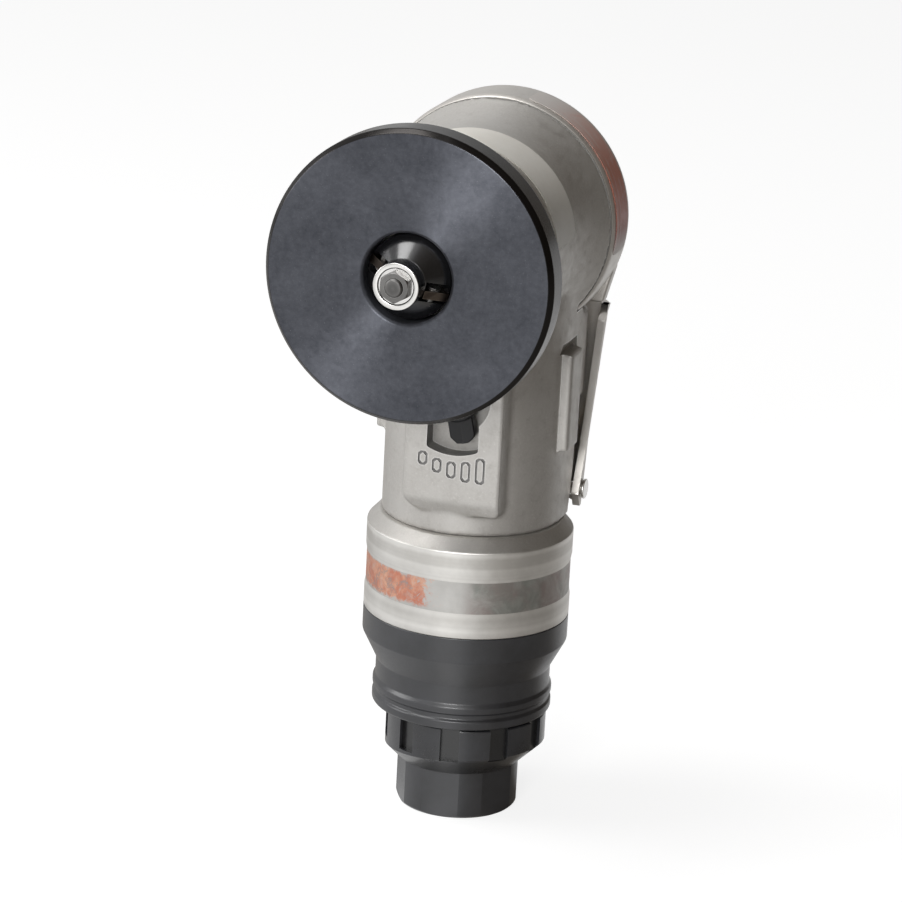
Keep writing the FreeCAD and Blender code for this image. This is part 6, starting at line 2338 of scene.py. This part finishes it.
@dataclass
class Studio:
    """Pale floor, soft lights and the camera at the photograph's angle."""

    camera_place: tuple[float, float, float] = (0.193518, -0.663457, 0.285891)
    azimuth: float = 16.656
    elevation: float = 16.928
    roll: float = -3.016
    lens: float = 141.379
    sensor: float = 36.0
    aim: tuple[float, float, float] = (0.0, 0.0, 0.08)
    floor_size: float = 12.0
    floor_colour: Colour = (0.36, 0.36, 0.36)
    warm: Colour = (1.0, 0.84, 0.66)
    floor_lift: float = 0.82
    floor_mirror: float = 0.85
    ambient: float = 0.36
    right_glow: float = 0.09
    left_lobe: tuple[float, float, float, float] = (-45.0, -0.35, 0.95, 0.60)
    beam_lobe: tuple[float, float, float, float] = (2.0, 0.93, 0.995, 0.55)
    back_lobe: tuple[float, float, float, float] = (163.0, 0.75, 0.97, 0.60)
    sky_lobe: tuple[float, float, float, float] = (-150.0, 0.55, 0.98, 0.55)
    lights: dict[str, tuple[tuple[float, float, float], float, float]] = field(default_factory=lambda: {
        "key": ((0.06, -1.00, 0.42), 0.30, 4.0),
        "left": ((-0.95, -0.35, 0.45), 0.50, 3.6),
        "top": ((-0.40, -0.22, 1.10), 0.50, 4.6),
    })

    def camera(self) -> None:
        """Put the camera where the photograph was taken from."""
        turn_round, rise, roll = (math.radians(a) for a in (self.azimuth, self.elevation, self.roll))
        back = Vector((math.sin(turn_round) * math.cos(rise), -math.cos(turn_round) * math.cos(rise),
                       math.sin(rise)))
        level = Vector((math.cos(turn_round), math.sin(turn_round), 0))
        upward = back.cross(level)
        right = level * math.cos(roll) - upward * math.sin(roll)
        up = level * math.sin(roll) + upward * math.cos(roll)
        data = bpy.data.cameras.new("photo_camera")
        data.lens = self.lens
        data.sensor_width = self.sensor
        data.clip_start = 0.01
        camera = bpy.data.objects.new("photo_camera", data)
        bpy.context.scene.collection.objects.link(camera)
        rotation = Matrix((right, up, back)).transposed().to_4x4()
        camera.matrix_world = Matrix.Translation(self.camera_place) @ rotation
        bpy.context.scene.camera = camera

    def floor(self) -> None:
        """Lay a large pale floor that keeps the soft shadow."""
        half = self.floor_size / 2
        plane = add_object("floor", np.array([(-half, -half, 0), (half, -half, 0), (half, half, 0),
                                              (-half, half, 0)]), [(0, 1, 2, 3)], UPRIGHT)
        plane.data.materials.append(self.floor_material())
        plane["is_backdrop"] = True

    def glow(self, g: Graph, direction: Socket, floor: bool) -> Socket:
        """Give the studio's brightness in a direction: bright on the left, darker on the right.

        Args:
            g: The graph that the nodes go into.
            direction: A direction, or a place on the floor seen from the machine.
            floor: True for the floor, which is brighter behind the machine.

        Returns:
            The brightness, 1 for white.
        """
        flat = g.vector("NORMALIZE", g.vector("MULTIPLY", direction, (1, 1, 0)))
        level = g.plus(self.lobe(g, flat, self.left_lobe), self.right_glow)
        level = g.plus(level, self.lobe(g, flat, self.beam_lobe))
        return g.plus(level, self.lobe(g, flat, self.back_lobe if floor else self.sky_lobe))

    @staticmethod
    def lobe(g: Graph, flat: Socket, lobe: tuple[float, float, float, float]) -> Socket:
        """Give one soft lobe of light: azimuth, cosines where it starts and is full, brightness.

        Args:
            g: The graph that the nodes go into.
            flat: A level direction.
            lobe: The lobe's azimuth, the cosines where it starts and is full, and its brightness.

        Returns:
            Its brightness in that direction.
        """
        azimuth, start, full, level = lobe
        angle = math.radians(azimuth)
        facing = g.vector("DOT_PRODUCT", flat, (math.sin(angle), -math.cos(angle), 0))
        return g.spread(facing, start, full, 0.0, level)

    def tint(self, g: Graph, glow: Socket) -> Socket:
        """Give the light's colour: warm on the dim side, white elsewhere and to the camera."""
        white = g.math("MAXIMUM", g.spread(glow, self.right_glow, 0.45), self.seen(g, True))
        return g.blend(white, self.warm, (1.0, 1.0, 1.0))

    def seen(self, g: Graph, plain: bool) -> Socket:
        """Give 1 for camera and glass rays, and for mirror rays too unless plain.

        Args:
            g: The graph that the nodes go into.
            plain: True to leave out mirror rays.

        Returns:
            The mask.
        """
        path = g.nodes.new("ShaderNodeLightPath")
        rays = g.math("MAXIMUM", path.outputs["Is Camera Ray"], path.outputs["Is Transmission Ray"])
        return rays if plain else g.math("MAXIMUM", rays, path.outputs["Is Glossy Ray"])

    def floor_material(self) -> Material:
        """Make the floor: a pale diffuse surface, lifted to white for camera, mirror and glass rays.

        Returns:
            The material.
        """
        g = Graph("pale_floor")
        diffuse = g.nodes.new("ShaderNodeBsdfDiffuse")
        diffuse.inputs["Color"].default_value = (*self.floor_colour, 1)
        lift = g.nodes.new("ShaderNodeEmission")
        glow = self.glow(g, g.place, True)
        g.link(self.tint(g, glow), lift.inputs["Color"])
        white = g.times(self.seen(g, True), self.floor_lift)
        mirror = g.times(g.minus(self.seen(g, False), self.seen(g, True)),
                        g.times(glow, self.floor_mirror))
        g.link(g.plus(white, mirror), lift.inputs["Strength"])
        both = g.nodes.new("ShaderNodeAddShader")
        g.link(diffuse.outputs[0], both.inputs[0])
        g.link(lift.outputs[0], both.inputs[1])
        g.link(both.outputs[0], g.output.inputs["Surface"])
        return g.material

    def world(self) -> None:
        """Light the room softly, white to the camera and as bright as its own side to metal."""
        world = bpy.data.worlds.new("studio")
        bpy.context.scene.world = world
        world.use_nodes = True
        g = Graph("studio_glow", world)
        place = g.nodes.new("ShaderNodeTexCoord").outputs["Generated"]
        glow = self.glow(g, place, False)
        path = g.nodes.new("ShaderNodeLightPath")
        mirrored = g.times(path.outputs["Is Glossy Ray"], 1.0 - self.ambient)
        room = g.times(glow, g.plus(self.ambient, mirrored))
        level = g.math("MAXIMUM", room, self.seen(g, True))
        shown = g.nodes.new("ShaderNodeBackground")
        g.link(self.tint(g, glow), shown.inputs["Color"])
        g.link(level, shown.inputs["Strength"])
        g.link(shown.outputs[0], g.output.inputs["Surface"])

    def lamps(self) -> None:
        """Hang the soft square lamps, all aimed at the machine."""
        for name, (place, size, power) in self.lights.items():
            data = bpy.data.lights.new(name, "AREA")
            data.shape = "SQUARE"
            data.size = size
            data.energy = power
            lamp = bpy.data.objects.new(name, data)
            bpy.context.scene.collection.objects.link(lamp)
            away = Vector(place) - Vector(self.aim)
            turned = away.to_track_quat("Z", "Y").to_matrix().to_4x4()
            lamp.matrix_world = Matrix.Translation(place) @ turned

    def build(self) -> None:
        """Set the whole studio."""
        self.camera()
        self.floor()
        self.world()
        self.lamps()
        bpy.context.scene.view_settings.view_transform = "Standard"


def corners() -> list[list[float]]:
    """Give the shown object's lowest and highest corners as plain lists."""
    return [[float(value) for value in corner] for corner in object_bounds()]


def main() -> None:
    """Build and dress every sub-assembly, then the studio."""
    logging.basicConfig(level=logging.INFO, format="%(name)s: %(message)s")
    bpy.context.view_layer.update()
    shop = PaintShop()
    shop.dress_carried_over()
    for assembly in (Casting(), RearCover(), NoseLabel(), GuidePlate(), AdjustingRing(), Cutter(),
                     Regulator(), ThrottleLever(), Collar(), ExhaustHousing(), Deflector(), Inlet()):
        assembly.dress(shop)
    Studio().build()
    bpy.context.view_layer.update()


if __name__ == "__main__":
    main()
